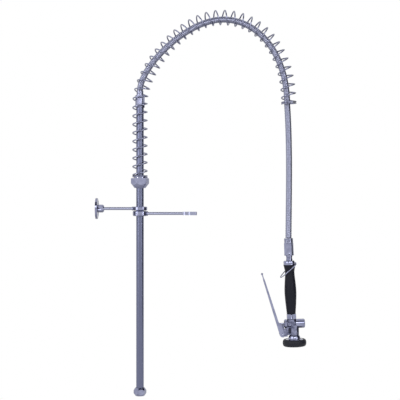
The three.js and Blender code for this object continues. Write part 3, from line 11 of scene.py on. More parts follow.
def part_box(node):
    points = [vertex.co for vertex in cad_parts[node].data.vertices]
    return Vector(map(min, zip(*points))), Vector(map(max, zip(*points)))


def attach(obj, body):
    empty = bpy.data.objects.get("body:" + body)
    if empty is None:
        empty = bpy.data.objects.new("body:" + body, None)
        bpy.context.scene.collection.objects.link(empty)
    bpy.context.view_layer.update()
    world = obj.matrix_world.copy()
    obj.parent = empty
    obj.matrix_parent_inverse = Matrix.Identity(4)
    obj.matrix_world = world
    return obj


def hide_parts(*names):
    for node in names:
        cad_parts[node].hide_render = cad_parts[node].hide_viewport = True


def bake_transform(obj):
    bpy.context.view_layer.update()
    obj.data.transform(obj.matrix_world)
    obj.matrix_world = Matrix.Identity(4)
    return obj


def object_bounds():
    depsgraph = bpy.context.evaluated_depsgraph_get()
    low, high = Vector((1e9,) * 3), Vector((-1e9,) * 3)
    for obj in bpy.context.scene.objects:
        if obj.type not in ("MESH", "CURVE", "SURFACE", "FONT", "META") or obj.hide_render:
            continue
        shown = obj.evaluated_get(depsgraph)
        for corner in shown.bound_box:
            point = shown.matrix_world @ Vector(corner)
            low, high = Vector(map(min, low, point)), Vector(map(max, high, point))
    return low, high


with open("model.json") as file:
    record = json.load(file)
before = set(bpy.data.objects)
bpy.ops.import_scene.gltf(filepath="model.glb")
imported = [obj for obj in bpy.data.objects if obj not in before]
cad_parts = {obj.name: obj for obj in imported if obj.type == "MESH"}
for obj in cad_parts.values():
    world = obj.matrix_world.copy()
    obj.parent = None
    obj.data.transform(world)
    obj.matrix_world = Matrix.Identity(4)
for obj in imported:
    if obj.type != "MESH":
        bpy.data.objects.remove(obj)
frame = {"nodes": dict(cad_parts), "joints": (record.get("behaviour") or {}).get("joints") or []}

cad_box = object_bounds()
MM = 0.001

# ---- Camera ---------------------------------------------------------------------------
# Level with the middle of the faucet and square to the plane of the arch, about three
# metres away, so that the arch is seen a little from below and the rose a little from above.
PIXEL = 2.95  # millimetres of the faucet's plane that one pixel of the frame covers
FRAME_PIXELS = 400
RISER_PIXEL_X = 140
FOOT_PIXEL_Y = 395.5
CAMERA_DISTANCE = 2.9
SENSOR = 36

camera_x = (FRAME_PIXELS / 2 - RISER_PIXEL_X) * PIXEL * MM
camera_z = (FOOT_PIXEL_Y - FRAME_PIXELS / 2) * PIXEL * MM
camera_data = bpy.data.cameras.new("camera")
camera_data.sensor_width = SENSOR
camera_data.lens = SENSOR * CAMERA_DISTANCE / (FRAME_PIXELS * PIXEL * MM)
camera = bpy.data.objects.new("camera", camera_data)
camera.location = (camera_x, -CAMERA_DISTANCE, camera_z)
camera.rotation_euler = (math.radians(90), 0, 0)
bpy.context.collection.objects.link(camera)
bpy.context.scene.camera = camera


# ---- Hose -----------------------------------------------------------------------------
# A rubber hose in an interlocked stainless steel sheath: strip folded into close ribs that
# slide in each other. It starts in a crimped ferrule, leans on the inner side of the spring
# and hangs free from the spring's end down to the gun.
HOSE_DIAMETER = 18.5
SHEATH_PITCH = 5
SHEATH_GROOVE = 0.8
SHEATH_SIDES = 28
SHEATH_STEPS_PER_RIB = 6
FOLD_SHARPNESS = 5  # more makes the fold between two ribs narrower
ARCH_APEX = (240, 1115)
ARCH_END = (439, 860)
HOSE_INSET = 5  # hose axis inside the spring's axis along the arch
HOSE_ARCH_START = 898.9
HOSE_HANDLES = (71, 107, 110, 140)
GUN_X = 438
DROP_HANDLE = 130
DROP_BOW = 9  # the hanging length bows out this much at its upper handle


def linear(colour):
    """An sRGB hex colour as a linear RGBA tuple."""
    parts = [int(colour[i:i + 2], 16) / 255 for i in (1, 3, 5)]
    return tuple(c / 12.92 if c <= 0.04045 else ((c + 0.055) / 1.055) ** 2.4 for c in parts) + (1,)


def add(tree, kind, values=None, links=None, **settings):
    """Adds a node: its settings, the values of its inputs and the links into them."""
    made = tree.nodes.new(kind)
    for name, setting in settings.items():
        setattr(made, name, setting)
    for socket, value in (values or {}).items():
        made.inputs[socket].default_value = value
    for socket, source in (links or {}).items():
        tree.links.new(source, made.inputs[socket])
    return made


def feed(tree, node, inputs):
    """Gives each input of a node its value, or a link where a socket is given."""
    for socket, value in inputs.items():
        if isinstance(value, bpy.types.NodeSocket):
            tree.links.new(value, node.inputs[socket])
        else:
            node.inputs[socket].default_value = value
    return node


def maths(tree, operation, a, b=0.0):
    return feed(tree, add(tree, "ShaderNodeMath", operation=operation), {0: a, 1: b}).outputs[0]


def bezier(points, count):
    """Points along a cubic Bezier curve in the plane of the arch, given as (x, z) corners."""
    a, b, c, d = (Vector((x, 0, z)) * MM for x, z in points)
    steps = [i / count for i in range(count + 1)]
    return [a * (1 - t) ** 3 + 3 * b * t * (1 - t) ** 2 + 3 * c * t * t * (1 - t) + d * t ** 3
            for t in steps]


def arch(start_z, apex, end, handles, count):
    """The route from the riser's axis over the apex to the end, as two Bezier curves.
    Handles: up from the start, back and on from the apex, up from the end."""
    up, back, on, above = handles
    rise = [(0, start_z), (0, start_z + up), (apex[0] - back, apex[1]), apex]
    fall = [apex, (apex[0] + on, apex[1]), (end[0], end[1] + above), end]
    return bezier(rise, count) + bezier(fall, count)[1:]


def linked(made):
    bpy.context.collection.objects.link(made)
    return made


def path_object(name, points):
    """A poly curve through the points, as the input of a node tree."""
    curve = bpy.data.curves.new(name, "CURVE")
    curve.dimensions = "3D"
    spline = curve.splines.new("POLY")
    spline.points.add(len(points) - 1)
    for place, point in zip(spline.points, points):
        place.co = (*point, 1)
    return linked(bpy.data.objects.new(name, curve))


def group_with(name, sizes):
    """A geometry node group with named size inputs, and its first and last nodes."""
    tree = bpy.data.node_groups.new(name, "GeometryNodeTree")
    tree.interface.new_socket("Geometry", in_out="INPUT", socket_type="NodeSocketGeometry")
    for size, kind in sizes.items():
        tree.interface.new_socket(size, in_out="INPUT", socket_type="NodeSocket" + kind)
    tree.interface.new_socket("Geometry", in_out="OUTPUT", socket_type="NodeSocketGeometry")
    return tree, add(tree, "NodeGroupInput"), add(tree, "NodeGroupOutput")


def end_group(tree, end, geometry, material):
    """Gives a group's result as real geometry in one material."""
    real = add(tree, "GeometryNodeRealizeInstances", links={"Geometry": geometry})
    shown = add(tree, "GeometryNodeSetMaterial", {"Material": material}, {"Geometry": real.outputs[0]})
    tree.links.new(shown.outputs[0], end.inputs[0])
    return tree


def run_nodes(holder, tree, values, name):
    """The mesh that a node tree makes from a holder object, which is then removed."""
    modifier = holder.modifiers.new("nodes", "NODES")
    modifier.node_group = tree
    ids = {s.name: s.identifier for s in tree.interface.items_tree if s.in_out == "INPUT"}
    for socket, value in values.items():
        modifier[ids[socket]] = value
    bpy.context.view_layer.update()
    depsgraph = bpy.context.evaluated_depsgraph_get()
    mesh = bpy.data.meshes.new_from_object(holder.evaluated_get(depsgraph))
    holder.modifiers.remove(modifier)
    bpy.data.objects.remove(holder)
    return linked(bpy.data.objects.new(name, mesh))


def new_material(name, metallic=1):
    """A node material with its surface shader and its object coordinates."""
    material = bpy.data.materials.new(name)
    material.use_nodes = True
    tree = material.node_tree
    tree.nodes.clear()
    shader = add(tree, "ShaderNodeBsdfPrincipled", {"Metallic": metallic})
    add(tree, "ShaderNodeOutputMaterial", links={"Surface": shader.outputs[0]})
    return material, tree, shader, add(tree, "ShaderNodeTexCoord").outputs["Object"]


def noise(tree, place, scale, detail=2):
    return add(tree, "ShaderNodeTexNoise", {"Scale": scale, "Detail": detail}, {"Vector": place}).outputs[0]


def spread(tree, value, to, source=(0, 1)):
    """Maps a value from a source range to another."""
    ends = {"From Min": source[0], "From Max": source[1], "To Min": to[0], "To Max": to[1]}
    return add(tree, "ShaderNodeMapRange", ends, {"Value": value}).outputs[0]


def gloss(tree, shader, texture, low, high):
    """Lets a texture vary the surface between two roughnesses."""
    tree.links.new(spread(tree, texture, (low, high)), shader.inputs["Roughness"])


def relief(tree, shader, texture, strength, distance):
    """Lets a texture raise the surface."""
    bump = add(tree, "ShaderNodeBump", {"Strength": strength, "Distance": distance}, {"Height": texture})
    tree.links.new(bump.outputs[0], shader.inputs["Normal"])


def mix(tree, factor, a, b):
    """Two linear colours, or sockets, mixed by a factor."""
    made = add(tree, "ShaderNodeMix", links={"Factor": factor}, data_type="RGBA")
    return feed(tree, made, {"A": a, "B": b}).outputs["Result"]


def tint(tree, shader, texture, a, b):
    """Lets a texture mix two tones."""
    tree.links.new(mix(tree, texture, linear(a), linear(b)), shader.inputs["Base Color"])


def shade(tree, shader, tones, rim, texture):
    """Two tones mixed by a texture, darker where the surface turns from view or downwards: the rim colour
    mixed in there is painted shade.
    """
    # Painted reflection: a dark rim where the surface turns from view.
    facing = add(tree, "ShaderNodeLayerWeight", {"Blend": 0.25}).outputs["Facing"]
    turned = spread(tree, facing, (0, 1), (0.2, 0.75))
    normal = add(tree, "ShaderNodeNewGeometry").outputs["Normal"]
    upward = add(tree, "ShaderNodeSeparateXYZ", links={0: normal}).outputs["Z"]
    # Painted shade on faces that turn downwards, standing in for a dark reflection from below.
    underside_painted_shade = spread(tree, upward, (0, 0.8), (-0.2, -1.0))
    ground = mix(tree, texture, linear(tones[0]), linear(tones[1]))
    shaded = mix(tree, maths(tree, "MAXIMUM", turned, underside_painted_shade), ground, linear(rim))
    tree.links.new(shaded, shader.inputs["Base Color"])


def bare_steel(name, scale, detail, tones, rim, low, high):
    """Steel in two tones, with painted shade darker at its edges and undersides, whose shine varies with its
    grain.
    """
    material, tree, shader, place = new_material(name)
    grain = noise(tree, place, scale, detail)
    shade(tree, shader, tones, rim, grain)
    gloss(tree, shader, grain, low, high)
    return material


def sheath_nodes(material):
    """Sweeps a round section along a path and draws it in at every fold of the strip."""
    sizes = {"Diameter": "Float", "Pitch": "Float", "Groove": "Float"}
    tree, start, end = group_with("interlocked_sheath", sizes)
    path, diameter, pitch, groove = start.outputs[:4]
    step = maths(tree, "DIVIDE", pitch, SHEATH_STEPS_PER_RIB)
    line = add(tree, "GeometryNodeResampleCurve", links={"Curve": path, "Length": step}, mode="LENGTH")
    along = add(tree, "GeometryNodeSplineParameter").outputs["Length"]
    wave = maths(tree, "COSINE", maths(tree, "MULTIPLY", maths(tree, "DIVIDE", along, pitch), math.pi))
    fold = maths(tree, "POWER", maths(tree, "ABSOLUTE", wave), FOLD_SHARPNESS)
    depth = maths(tree, "MULTIPLY", fold, groove)
    radius = maths(tree, "SUBTRACT", maths(tree, "MULTIPLY", diameter, 0.5), depth)
    section = add(tree, "GeometryNodeCurvePrimitiveCircle", {"Resolution": SHEATH_SIDES, "Radius": 1.0})
    tube = add(tree, "GeometryNodeCurveToMesh", {"Fill Caps": True},
               {"Curve": line.outputs[0], "Profile Curve": section.outputs[0], "Scale": radius})
    return end_group(tree, end, tube.outputs[0], material)


# Cold-rolled stainless strip, folded: a soft shine with faint clouds. Its dark rim colour is painted shade.
strip = bare_steel("interlocked_stainless_strip", 25, 3, ("#9194ab", "#989bb2"), "#45475a", 0.3, 0.38)
sheath_tree = sheath_nodes(strip)
sheath_sizes = {"Diameter": HOSE_DIAMETER * MM, "Pitch": SHEATH_PITCH * MM,
                "Groove": SHEATH_GROOVE * MM}

drop_bottom, drop_top = (corner.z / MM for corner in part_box("hose_drop"))
hose_x = ARCH_END[0] - HOSE_INSET
drop_route = bezier([(hose_x, drop_top), (hose_x + DROP_BOW, drop_top - DROP_HANDLE),
                     (GUN_X + 1, drop_bottom + DROP_HANDLE), (GUN_X, drop_bottom)], 24)
hose_drop = run_nodes(path_object("drop_path", drop_route), sheath_tree, sheath_sizes, "hanging_hose_sheath")
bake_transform(hose_drop)
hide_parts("hose_drop")

hose_apex = (ARCH_APEX[0] + HOSE_INSET, ARCH_APEX[1] - HOSE_INSET - 1)
arch_route = arch(HOSE_ARCH_START, hose_apex, (hose_x, ARCH_END[1]), HOSE_HANDLES, 60)
arch_path = path_object("arch_path", arch_route)
hose_arch = run_nodes(arch_path, sheath_tree, sheath_sizes, "hose_sheath_in_spring")


# ---- Support spring -------------------------------------------------------------------
# Polished stainless spring wire, coiled right-handed with closed turns at both ends. It
# stands on the seat, is loose round the riser and carries the hose over in its arch.
SPRING_DIAMETER = 46
SPRING_WIRE = 4
SPRING_TURNS = 38
CLOSED_TURNS = 1.5
CLOSED_PITCH = 4.4
SPRING_START_Z = 643.3
BEND_START_Z = 860
SPRING_HANDLES = (105, 112, 122, 151)
COIL_STEPS = 30
WIRE_SIDES = 14


def coil_nodes(material):
    """Winds a wire round a path: closed turns, then even turns, then closed turns."""
    sizes = {"Path": "Object", "Turns": "Float", "Closed": "Float", "Closed Pitch": "Float",
             "Radius": "Float", "Wire": "Float", "Steps": "Int"}
    tree, start, end = group_with("coil_round_path", sizes)
    source, turns, closed, closed_pitch, radius, thickness, steps = start.outputs[1:8]

    def calc(operation, a, b=0.0):
        return maths(tree, operation, a, b)

    path = add(tree, "GeometryNodeObjectInfo", links={"Object": source}, transform_space="RELATIVE")
    path = path.outputs["Geometry"]
    length = add(tree, "GeometryNodeCurveLength", links={"Curve": path}).outputs[0]
    both_ends = calc("MULTIPLY", closed, 2.0)
    line = add(tree, "GeometryNodeMeshLine", links={"Count": steps})
    wire = add(tree, "GeometryNodeMeshToCurve", links={"Mesh": line.outputs[0]})
    share = calc("DIVIDE", add(tree, "GeometryNodeInputIndex").outputs[0], calc("SUBTRACT", steps, 1.0))
    turn = calc("MULTIPLY", share, calc("ADD", turns, both_ends))
    first = calc("MINIMUM", turn, closed)
    after = calc("MAXIMUM", calc("SUBTRACT", turn, closed), 0.0)
    last = calc("MAXIMUM", calc("SUBTRACT", after, turns), 0.0)
    pitch = calc("DIVIDE", calc("SUBTRACT", length, calc("MULTIPLY", both_ends, closed_pitch)), turns)
    along = calc("ADD", calc("MULTIPLY", calc("ADD", first, last), closed_pitch),
                 calc("MULTIPLY", calc("MINIMUM", after, turns), pitch))
    sample = add(tree, "GeometryNodeSampleCurve", links={"Curves": path, "Length": along}, mode="LENGTH")
    angle = calc("MULTIPLY", turn, 2 * math.pi)
    across = add(tree, "ShaderNodeVectorMath", {1: (0, -1, 0)}, {0: sample.outputs["Tangent"]},
                 operation="CROSS_PRODUCT")
    out_x, out_y = (calc("MULTIPLY", calc(kind, angle), radius) for kind in ("COSINE", "SINE"))
    sideways = add(tree, "ShaderNodeVectorMath", links={0: across.outputs[0], "Scale": out_x},
                   operation="SCALE")
    forward = add(tree, "ShaderNodeCombineXYZ", links={"Y": out_y})
    offset = add(tree, "ShaderNodeVectorMath", links={0: sideways.outputs[0], 1: forward.outputs[0]},
                 operation="ADD")
    point = add(tree, "ShaderNodeVectorMath", links={0: sample.outputs["Position"], 1: offset.outputs[0]},
                operation="ADD")
    wound = add(tree, "GeometryNodeSetPosition",
                links={"Geometry": wire.outputs[0], "Position": point.outputs[0]})
    section = add(tree, "GeometryNodeCurvePrimitiveCircle", {"Resolution": WIRE_SIDES},
                  {"Radius": calc("MULTIPLY", thickness, 0.5)})
    tube = add(tree, "GeometryNodeCurveToMesh", {"Fill Caps": True},
               {"Curve": wound.outputs[0], "Profile Curve": section.outputs[0]})
    return end_group(tree, end, tube.outputs[0], material)


# Hard-drawn stainless wire, barrel polished: bright, with faint drawing marks. Its dark rim colour is painted
# shade.
wire_finish = bare_steel("polished_spring_wire", 350, 2, ("#8a8da6", "#9699b2"), "#3c3e4e", 0.12, 0.26)
coil_tree = coil_nodes(wire_finish)


def wind(name, route, turns, closed, closed_pitch, outside, wire):
    """A spring round a route, as a plain mesh."""
    path = path_object(name + "_path", route)
    sizes = {"Path": path, "Turns": float(turns), "Closed": closed, "Closed Pitch": closed_pitch * MM,
             "Radius": (outside - wire) / 2 * MM, "Wire": wire * MM,
             "Steps": int(COIL_STEPS * (turns + 2 * closed))}
    spring = run_nodes(path_object(name + "_holder", route[:2]), coil_tree, sizes, name)
    bpy.data.objects.remove(path)
    return spring


spring_route = [Vector((0, 0, SPRING_START_Z * MM))]
spring_route += arch(BEND_START_Z, ARCH_APEX, ARCH_END, SPRING_HANDLES, 100)
support_spring = wind("support_spring_wire", spring_route, SPRING_TURNS, CLOSED_TURNS, CLOSED_PITCH,
                      SPRING_DIAMETER, SPRING_WIRE)
for piece, node, slot in ((support_spring, "support_spring", "spring_steel"),
                          (hose_arch, "hose_in_spring", "hose_sheath")):
    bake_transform(piece)
    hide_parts(node)


# ---- Riser ----------------------------------------------------------------------------
# A drawn stainless steel tube with a lengthwise satin finish and a threaded neck on top.
RISER_DIAMETER = 22.4
RISER_BORE = 18.4
RISER_BOTTOM = 13.3
RISER_TOP = 848
RISER_NECK = 19
RISER_NECK_BORE = 15
RISER_NECK_TOP = 868
GAP = 0.3
EDGE = 0.35  # width of a broken edge
SHARP = math.radians(32)


def lathe(profile, steps=72):
    """A profile of (diameter, height) corners in millimetres, turned round Z."""
    bm = bmesh.new()
    rings = []
    for diameter, height in profile:
        r, z = diameter / 2 * MM, height * MM
        count = steps if diameter > 1e-6 else 1
        angles = [2 * math.pi * k / steps for k in range(count)]
        rings.append([bm.verts.new((r * math.cos(a), r * math.sin(a), z)) for a in angles])
    if tuple(profile[0]) == tuple(profile[-1]) and len(rings[0]) > 1:
        for vert in rings.pop():
            bm.verts.remove(vert)
        rings.append(rings[0])
    for low, high in zip(rings, rings[1:]):
        for k in range(steps):
            corners = [low[k % len(low)], low[(k + 1) % len(low)],
                       high[(k + 1) % len(high)], high[k % len(high)]]
            corners = list(dict.fromkeys(corners))
            if len(corners) > 2:
                bm.faces.new(corners)
    bmesh.ops.recalc_face_normals(bm, faces=bm.faces)
    return bm


def rod(diameter, low, high, steps=72):
    return lathe([(0, low), (diameter, low), (diameter, high), (0, high)], steps)


def shift(x=0, y=0, z=0):
    """A move in millimetres."""
    return Matrix.Translation((x * MM, y * MM, z * MM))


def spin(degrees, axis):
    return Matrix.Rotation(math.radians(degrees), 4, axis)


def moved(bm, matrix):
    bmesh.ops.transform(bm, matrix=matrix, verts=bm.verts)
    return bm


def holder_of(bm, name="tool"):
    """A mesh object made of a bmesh, which is freed."""
    mesh = bpy.data.meshes.new(name)
    bm.to_mesh(mesh)
    bm.free()
    return linked(bpy.data.objects.new(name, mesh))


def settle(made):
    """Applies every modifier of an object to its mesh."""
    bpy.context.view_layer.update()
    mesh = bpy.data.meshes.new_from_object(made.evaluated_get(bpy.context.evaluated_depsgraph_get()))
    made.modifiers.clear()
    made.data = mesh


def carve(base, operation, tools):
    """Changes a base by one tool after the other: UNION, DIFFERENCE or INTERSECT."""
    for bm in tools:
        tool = holder_of(bm)
        change = base.modifiers.new("carve", "BOOLEAN")
        change.operation = operation
        change.solver = "MANIFOLD"
        change.object = tool
        settle(base)
        bpy.data.objects.remove(tool)
    return base


def join(base, *tools):
    return carve(base, "UNION", tools)


def cut(base, *tools):
    return carve(base, "DIFFERENCE", tools)


def finish_piece(made, name, material, body, node, edge=EDGE, matrix=Matrix.Identity(4)):
    """Breaks a piece's edges, puts it in place and hands it to its body."""
    for face in made.data.polygons:
        face.use_smooth = True
    made.data.set_sharp_from_angle(angle=SHARP)
    if edge:
        bevel = made.modifiers.new("edge", "BEVEL")
        bevel.width = edge * MM
        bevel.segments = 2
        bevel.angle_limit = SHARP
        bevel.use_clamp_overlap = True
        bevel.harden_normals = True
        settle(made)
    made.data.transform(matrix)
    made.name = name
    made.data.materials.clear()
    made.data.materials.append(material)
    for face in made.data.polygons:
        face.material_index = 0
    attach(made, body)
    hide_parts(node)
    return made


def satin_stainless():
    """Drawn stainless tube, belt-finished along its length: soft streaks and a dull shine."""
    material, tree, shader, place = new_material("satin_stainless_tube")
    stretched = add(tree, "ShaderNodeMapping", {"Scale": (1, 1, 0.012)}, {"Vector": place})
    streaks = noise(tree, stretched.outputs[0], 1400)
    tint(tree, shader, streaks, "#656982", "#757992")
    gloss(tree, shader, streaks, 0.26, 0.4)
    relief(tree, shader, streaks, 0.12, 0.0001)
    return material


satin = satin_stainless()
riser = lathe([(RISER_BORE, RISER_BOTTOM), (RISER_DIAMETER, RISER_BOTTOM), (RISER_DIAMETER, RISER_TOP),
               (RISER_NECK, RISER_TOP), (RISER_NECK, RISER_NECK_TOP), (RISER_NECK_BORE, RISER_NECK_TOP),
               (RISER_NECK_BORE, RISER_TOP), (RISER_BORE, RISER_TOP - 2), (RISER_BORE, RISER_BOTTOM)], 96)
finish_piece(holder_of(riser), "riser_tube", satin, "root", "riser_pipe")


# ---- Foot nut -------------------------------------------------------------------------
# A hexagon union nut of chrome-plated brass, its corners turned down almost to a ball at
# both ends. It is threaded for the supply outlet below, with a shoulder for the washer.
FOOT_FLATS = 33
FOOT_HEIGHT = 24
FOOT_END = 27
FOOT_CHAMFER = 8
FOOT_THREAD = 21
FOOT_THREAD_TOP = 11
FOOT_WATERWAY = 17
FOOT_SOCKET = 23
FOOT_SOCKET_START = 13
NUT_TURN = -18  # degrees from a corner in front
SHARP_END = 0.01  # the chamfer of a nut's end that isn't turned down


def chrome_plate(name, tones, rim, marks, waves):
    """Bright nickel-chrome plate: mirror-like, with clouds of water marks, a wavy ground and painted shade at
    its edges and undersides.
    """
    material, tree, shader, place = new_material(name)
    haze = spread(tree, noise(tree, place, marks, 4), (0, 1), (0.35, 0.65))
    shade(tree, shader, tones, rim, haze)
    gloss(tree, shader, haze, 0.06, 0.16)
    relief(tree, shader, noise(tree, place, 45, 1), waves, 0.002)
    return material


def hexagon(flats, low, high, ends, chamfers, turn=30):
    """A hexagon bar with its corners turned down to the end diameters over each chamfer."""
    corner = 2 * flats / math.sqrt(3)
    bar = holder_of(moved(rod(corner, low, high, 6), spin(turn + 30, "Z")))
    a, b = (min(d, corner) for d in ends)
    barrel = lathe([(0, low), (a, low), (corner, low + chamfers[0]), (corner + 0.01, (low + high) / 2),
                    (corner, high - chamfers[1]), (b, high), (0, high)])
    return carve(bar, "INTERSECT", [barrel])


# Bright chrome; its dark rim colour is painted shade at edges and undersides.
chrome = chrome_plate("bright_chrome_plate", ("#8689a3", "#9ea1bb"), "#3c3e4e", 55, 0.04)
foot_nut = hexagon(FOOT_FLATS, 0, FOOT_HEIGHT, (FOOT_END, FOOT_END), (FOOT_CHAMFER, FOOT_CHAMFER), NUT_TURN)
cut(foot_nut, rod(FOOT_THREAD, -1, FOOT_THREAD_TOP), rod(FOOT_WATERWAY, -1, FOOT_SOCKET_START + 1),
    rod(FOOT_SOCKET, FOOT_SOCKET_START, FOOT_HEIGHT + 1))
finish_piece(foot_nut, "foot_nut", chrome, "root", "foot_union_nut")


# ---- Spring seat ----------------------------------------------------------------------
# A hexagon seat of chrome-plated brass, rounded below and bored for the riser. A grub screw
# at the back holds it, and a low spigot on top centres the first coil.
SEAT_BOTTOM = 612
SEAT_TOP = 641
SEAT_FLATS = 47
SEAT_NECK = 33
SEAT_TAPER = 14
SEAT_ROUNDING = 1.4  # more makes the underside fuller
SEAT_SCREW_Z = SEAT_BOTTOM + 20.3
SPIGOT_TOP = 646
SPIGOT_DIAMETER = 34.4
SCREW_DIAMETER = 5.4
SCREW_HOLE = 6
SCREW_SOCKET = 3
SCREW_SOCKET_DEPTH = 2.5
SCREW_SINK = 0.5  # a grub screw ends this far under the surface that it is in


def radial(degrees, height=0):
    """Stands a piece on the Z axis out from the riser, at an angle from the front."""
    return shift(z=height) @ spin(degrees, "Z") @ spin(90, "X")


def grub_screw(name, body, degrees, height, outer, node):
    """A socket grub screw, set just under the surface that it is in."""
    screw = holder_of(rod(SCREW_DIAMETER, RISER_DIAMETER / 2 + GAP, outer, 32))
    cut(screw, rod(SCREW_SOCKET, outer - SCREW_SOCKET_DEPTH, outer + 1, 6))
    finish_piece(screw, name, turned_steel, body, node, 0.25, radial(degrees, height))


# Turned stainless steel: a fine grain and a clean shine. Its dark rim colour is painted shade.
turned_steel = bare_steel("turned_stainless", 500, 2, ("#9598af", "#a3a6bd"), "#606275", 0.16, 0.28)
seat = hexagon(SEAT_FLATS, SEAT_BOTTOM, SEAT_TOP, (SEAT_NECK, SEAT_FLATS + 5), (SEAT_TAPER, 1.5), NUT_TURN)
seat_corner = 2 * SEAT_FLATS / math.sqrt(3)
quarter = [math.pi / 2 * k / 8 for k in range(9)]
underside = [(SEAT_NECK + (seat_corner - SEAT_NECK) * math.sin(a) ** SEAT_ROUNDING,
              SEAT_BOTTOM + (SEAT_TAPER + 1) * (1 - math.cos(a))) for a in quarter]
carve(seat, "INTERSECT", [lathe([(0, SEAT_BOTTOM)] + underside + [
    (seat_corner + 1, SEAT_BOTTOM + SEAT_TAPER + 1), (70, SEAT_TOP + 1), (0, SEAT_TOP + 1)])])
join(seat, rod(SPIGOT_DIAMETER, SEAT_TOP - 2, SPIGOT_TOP))
cut(seat, rod(RISER_DIAMETER + 2 * GAP, SEAT_BOTTOM - 1, SPIGOT_TOP + 1),
    moved(rod(SCREW_HOLE, 0, SEAT_FLATS, 32), radial(180, SEAT_SCREW_Z)))
finish_piece(seat, "spring_seat_nut", chrome, "root", "spring_seat", 0.5)
grub_screw("seat_grub_screw", "root", 180, SEAT_SCREW_Z, SEAT_FLATS / 2 - SCREW_SINK, "seat_set_screw")


# ---- Hose joint on the riser ----------------------------------------------------------
# A slim hexagon nut of chrome-plated brass draws the hose's crimped ferrule down onto the
# riser's neck, inside the spring.
NUT_FLATS = 24
NUT_LOW = 848.3
NUT_HIGH = 886.3
NUT_THREAD = 19.6
NUT_MOUTH = 17.1
FERRULE_BORE = 10
FERRULE_STEM = 16.5
FERRULE_FLANGE = 19
FLANGE_LOW, FLANGE_HIGH = NUT_HIGH - 13.3, NUT_HIGH - 6.3
FERRULE_LOW = NUT_HIGH + GAP
FERRULE_TOP = 898.6
FERRULE_DIAMETER = 20.4
CRIMP = 1.2  # how much a crimp narrows the ferrule
CRIMP_RISE = 0.7


def crimps(diameter, start, pitch):
    """Corners of three grooves pressed round a ferrule."""
    grooves = []
    for k in range(3):
        low = start + pitch * k
        grooves += [(diameter, low), (diameter - CRIMP, low + CRIMP_RISE), (diameter, low + 2 * CRIMP_RISE)]
    return grooves


top_nut = hexagon(NUT_FLATS, NUT_LOW, NUT_HIGH, (NUT_FLATS, NUT_FLATS), (1.5, 1.5))
cut(top_nut, rod(NUT_THREAD, NUT_LOW - 1, NUT_HIGH - 6), rod(NUT_MOUTH, NUT_LOW, NUT_HIGH + 1))
finish_piece(top_nut, "hose_union_nut", chrome, "root", "hose_top_nut")
ferrule = lathe([(FERRULE_BORE, FLANGE_LOW), (FERRULE_FLANGE, FLANGE_LOW), (FERRULE_FLANGE, FLANGE_HIGH),
                 (FERRULE_STEM, FLANGE_HIGH), (FERRULE_STEM, FERRULE_LOW), (FERRULE_DIAMETER, FERRULE_LOW)]
                + crimps(FERRULE_DIAMETER, FERRULE_LOW + 2, 3.4)
                + [(FERRULE_DIAMETER, FERRULE_TOP - 0.6), (FERRULE_DIAMETER - 1.2, FERRULE_TOP),
                   (FERRULE_BORE, FERRULE_TOP), (FERRULE_BORE, FLANGE_LOW)])
finish_piece(holder_of(ferrule), "hose_upper_ferrule", turned_steel, "root", "hose_top_ferrule", 0)


# ---- Wall bracket ---------------------------------------------------------------------
# A chromed collar on the riser, held by a grub screw at its back, carries a turned steel arm.
# The arm's head is drawn onto the dished wall flange by a hub nut; three screw holes are empty.
WALL_Z = 551.5
COLLAR_DIAMETER = 43
COLLAR_EDGE = 2
WALL_COLLAR_HEIGHT = 11.5
BOSS_DIAMETER = 14
BOSS_END = 23.5
SOCKET_DEPTH = 6
ARM_DIAMETER = 8.8
FLANGE_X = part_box("wall_flange")[0].x / MM
FLANGE_DIAMETER = 62
FLANGE_THICKNESS = 6.5
FLANGE_EDGE = 2.5
FLANGE_DISH = 1.5
HOLE_CIRCLE = 42
HOLE = 5.5
HOLE_SINK = 2.6
HEAD_DIAMETER = 13
HEAD_LENGTH = 5
HUB_FLATS = 20


def along_x(x=0, z=0):
    """Lays a piece on the Z axis along +X."""
    return shift(x, 0, z) @ spin(90, "Y")


def arm_collar(height, screw_angles):
    """A chamfered collar with a boss and socket towards +X, and holes for its grub screws."""
    half, d, narrow = height / 2, COLLAR_DIAMETER, COLLAR_DIAMETER - 2 * COLLAR_EDGE
    made = holder_of(lathe([(0, -half), (narrow, -half), (d, COLLAR_EDGE - half), (d, half - COLLAR_EDGE),
                            (narrow, half), (0, half)]))
    join(made, moved(rod(min(BOSS_DIAMETER, height), RISER_DIAMETER / 2 + 1, BOSS_END, 48), along_x()))
    return cut(made, rod(RISER_DIAMETER + 2 * GAP, -height, height),
               moved(rod(ARM_DIAMETER + 2 * GAP, d / 2 - SOCKET_DEPTH, 25, 48), along_x()),
               *(moved(rod(SCREW_HOLE, 0, d, 32), radial(angle)) for angle in screw_angles))


wall_collar = arm_collar(WALL_COLLAR_HEIGHT, [0])
finish_piece(wall_collar, "bracket_collar", chrome, "wall_bracket", "wall_collar", 0.4,
             shift(z=WALL_Z) @ spin(180, "Z"))
screw_end = COLLAR_DIAMETER / 2 - SCREW_SINK
grub_screw("bracket_grub_screw", "wall_bracket", 180, WALL_Z, screw_end, "wall_collar_screw")

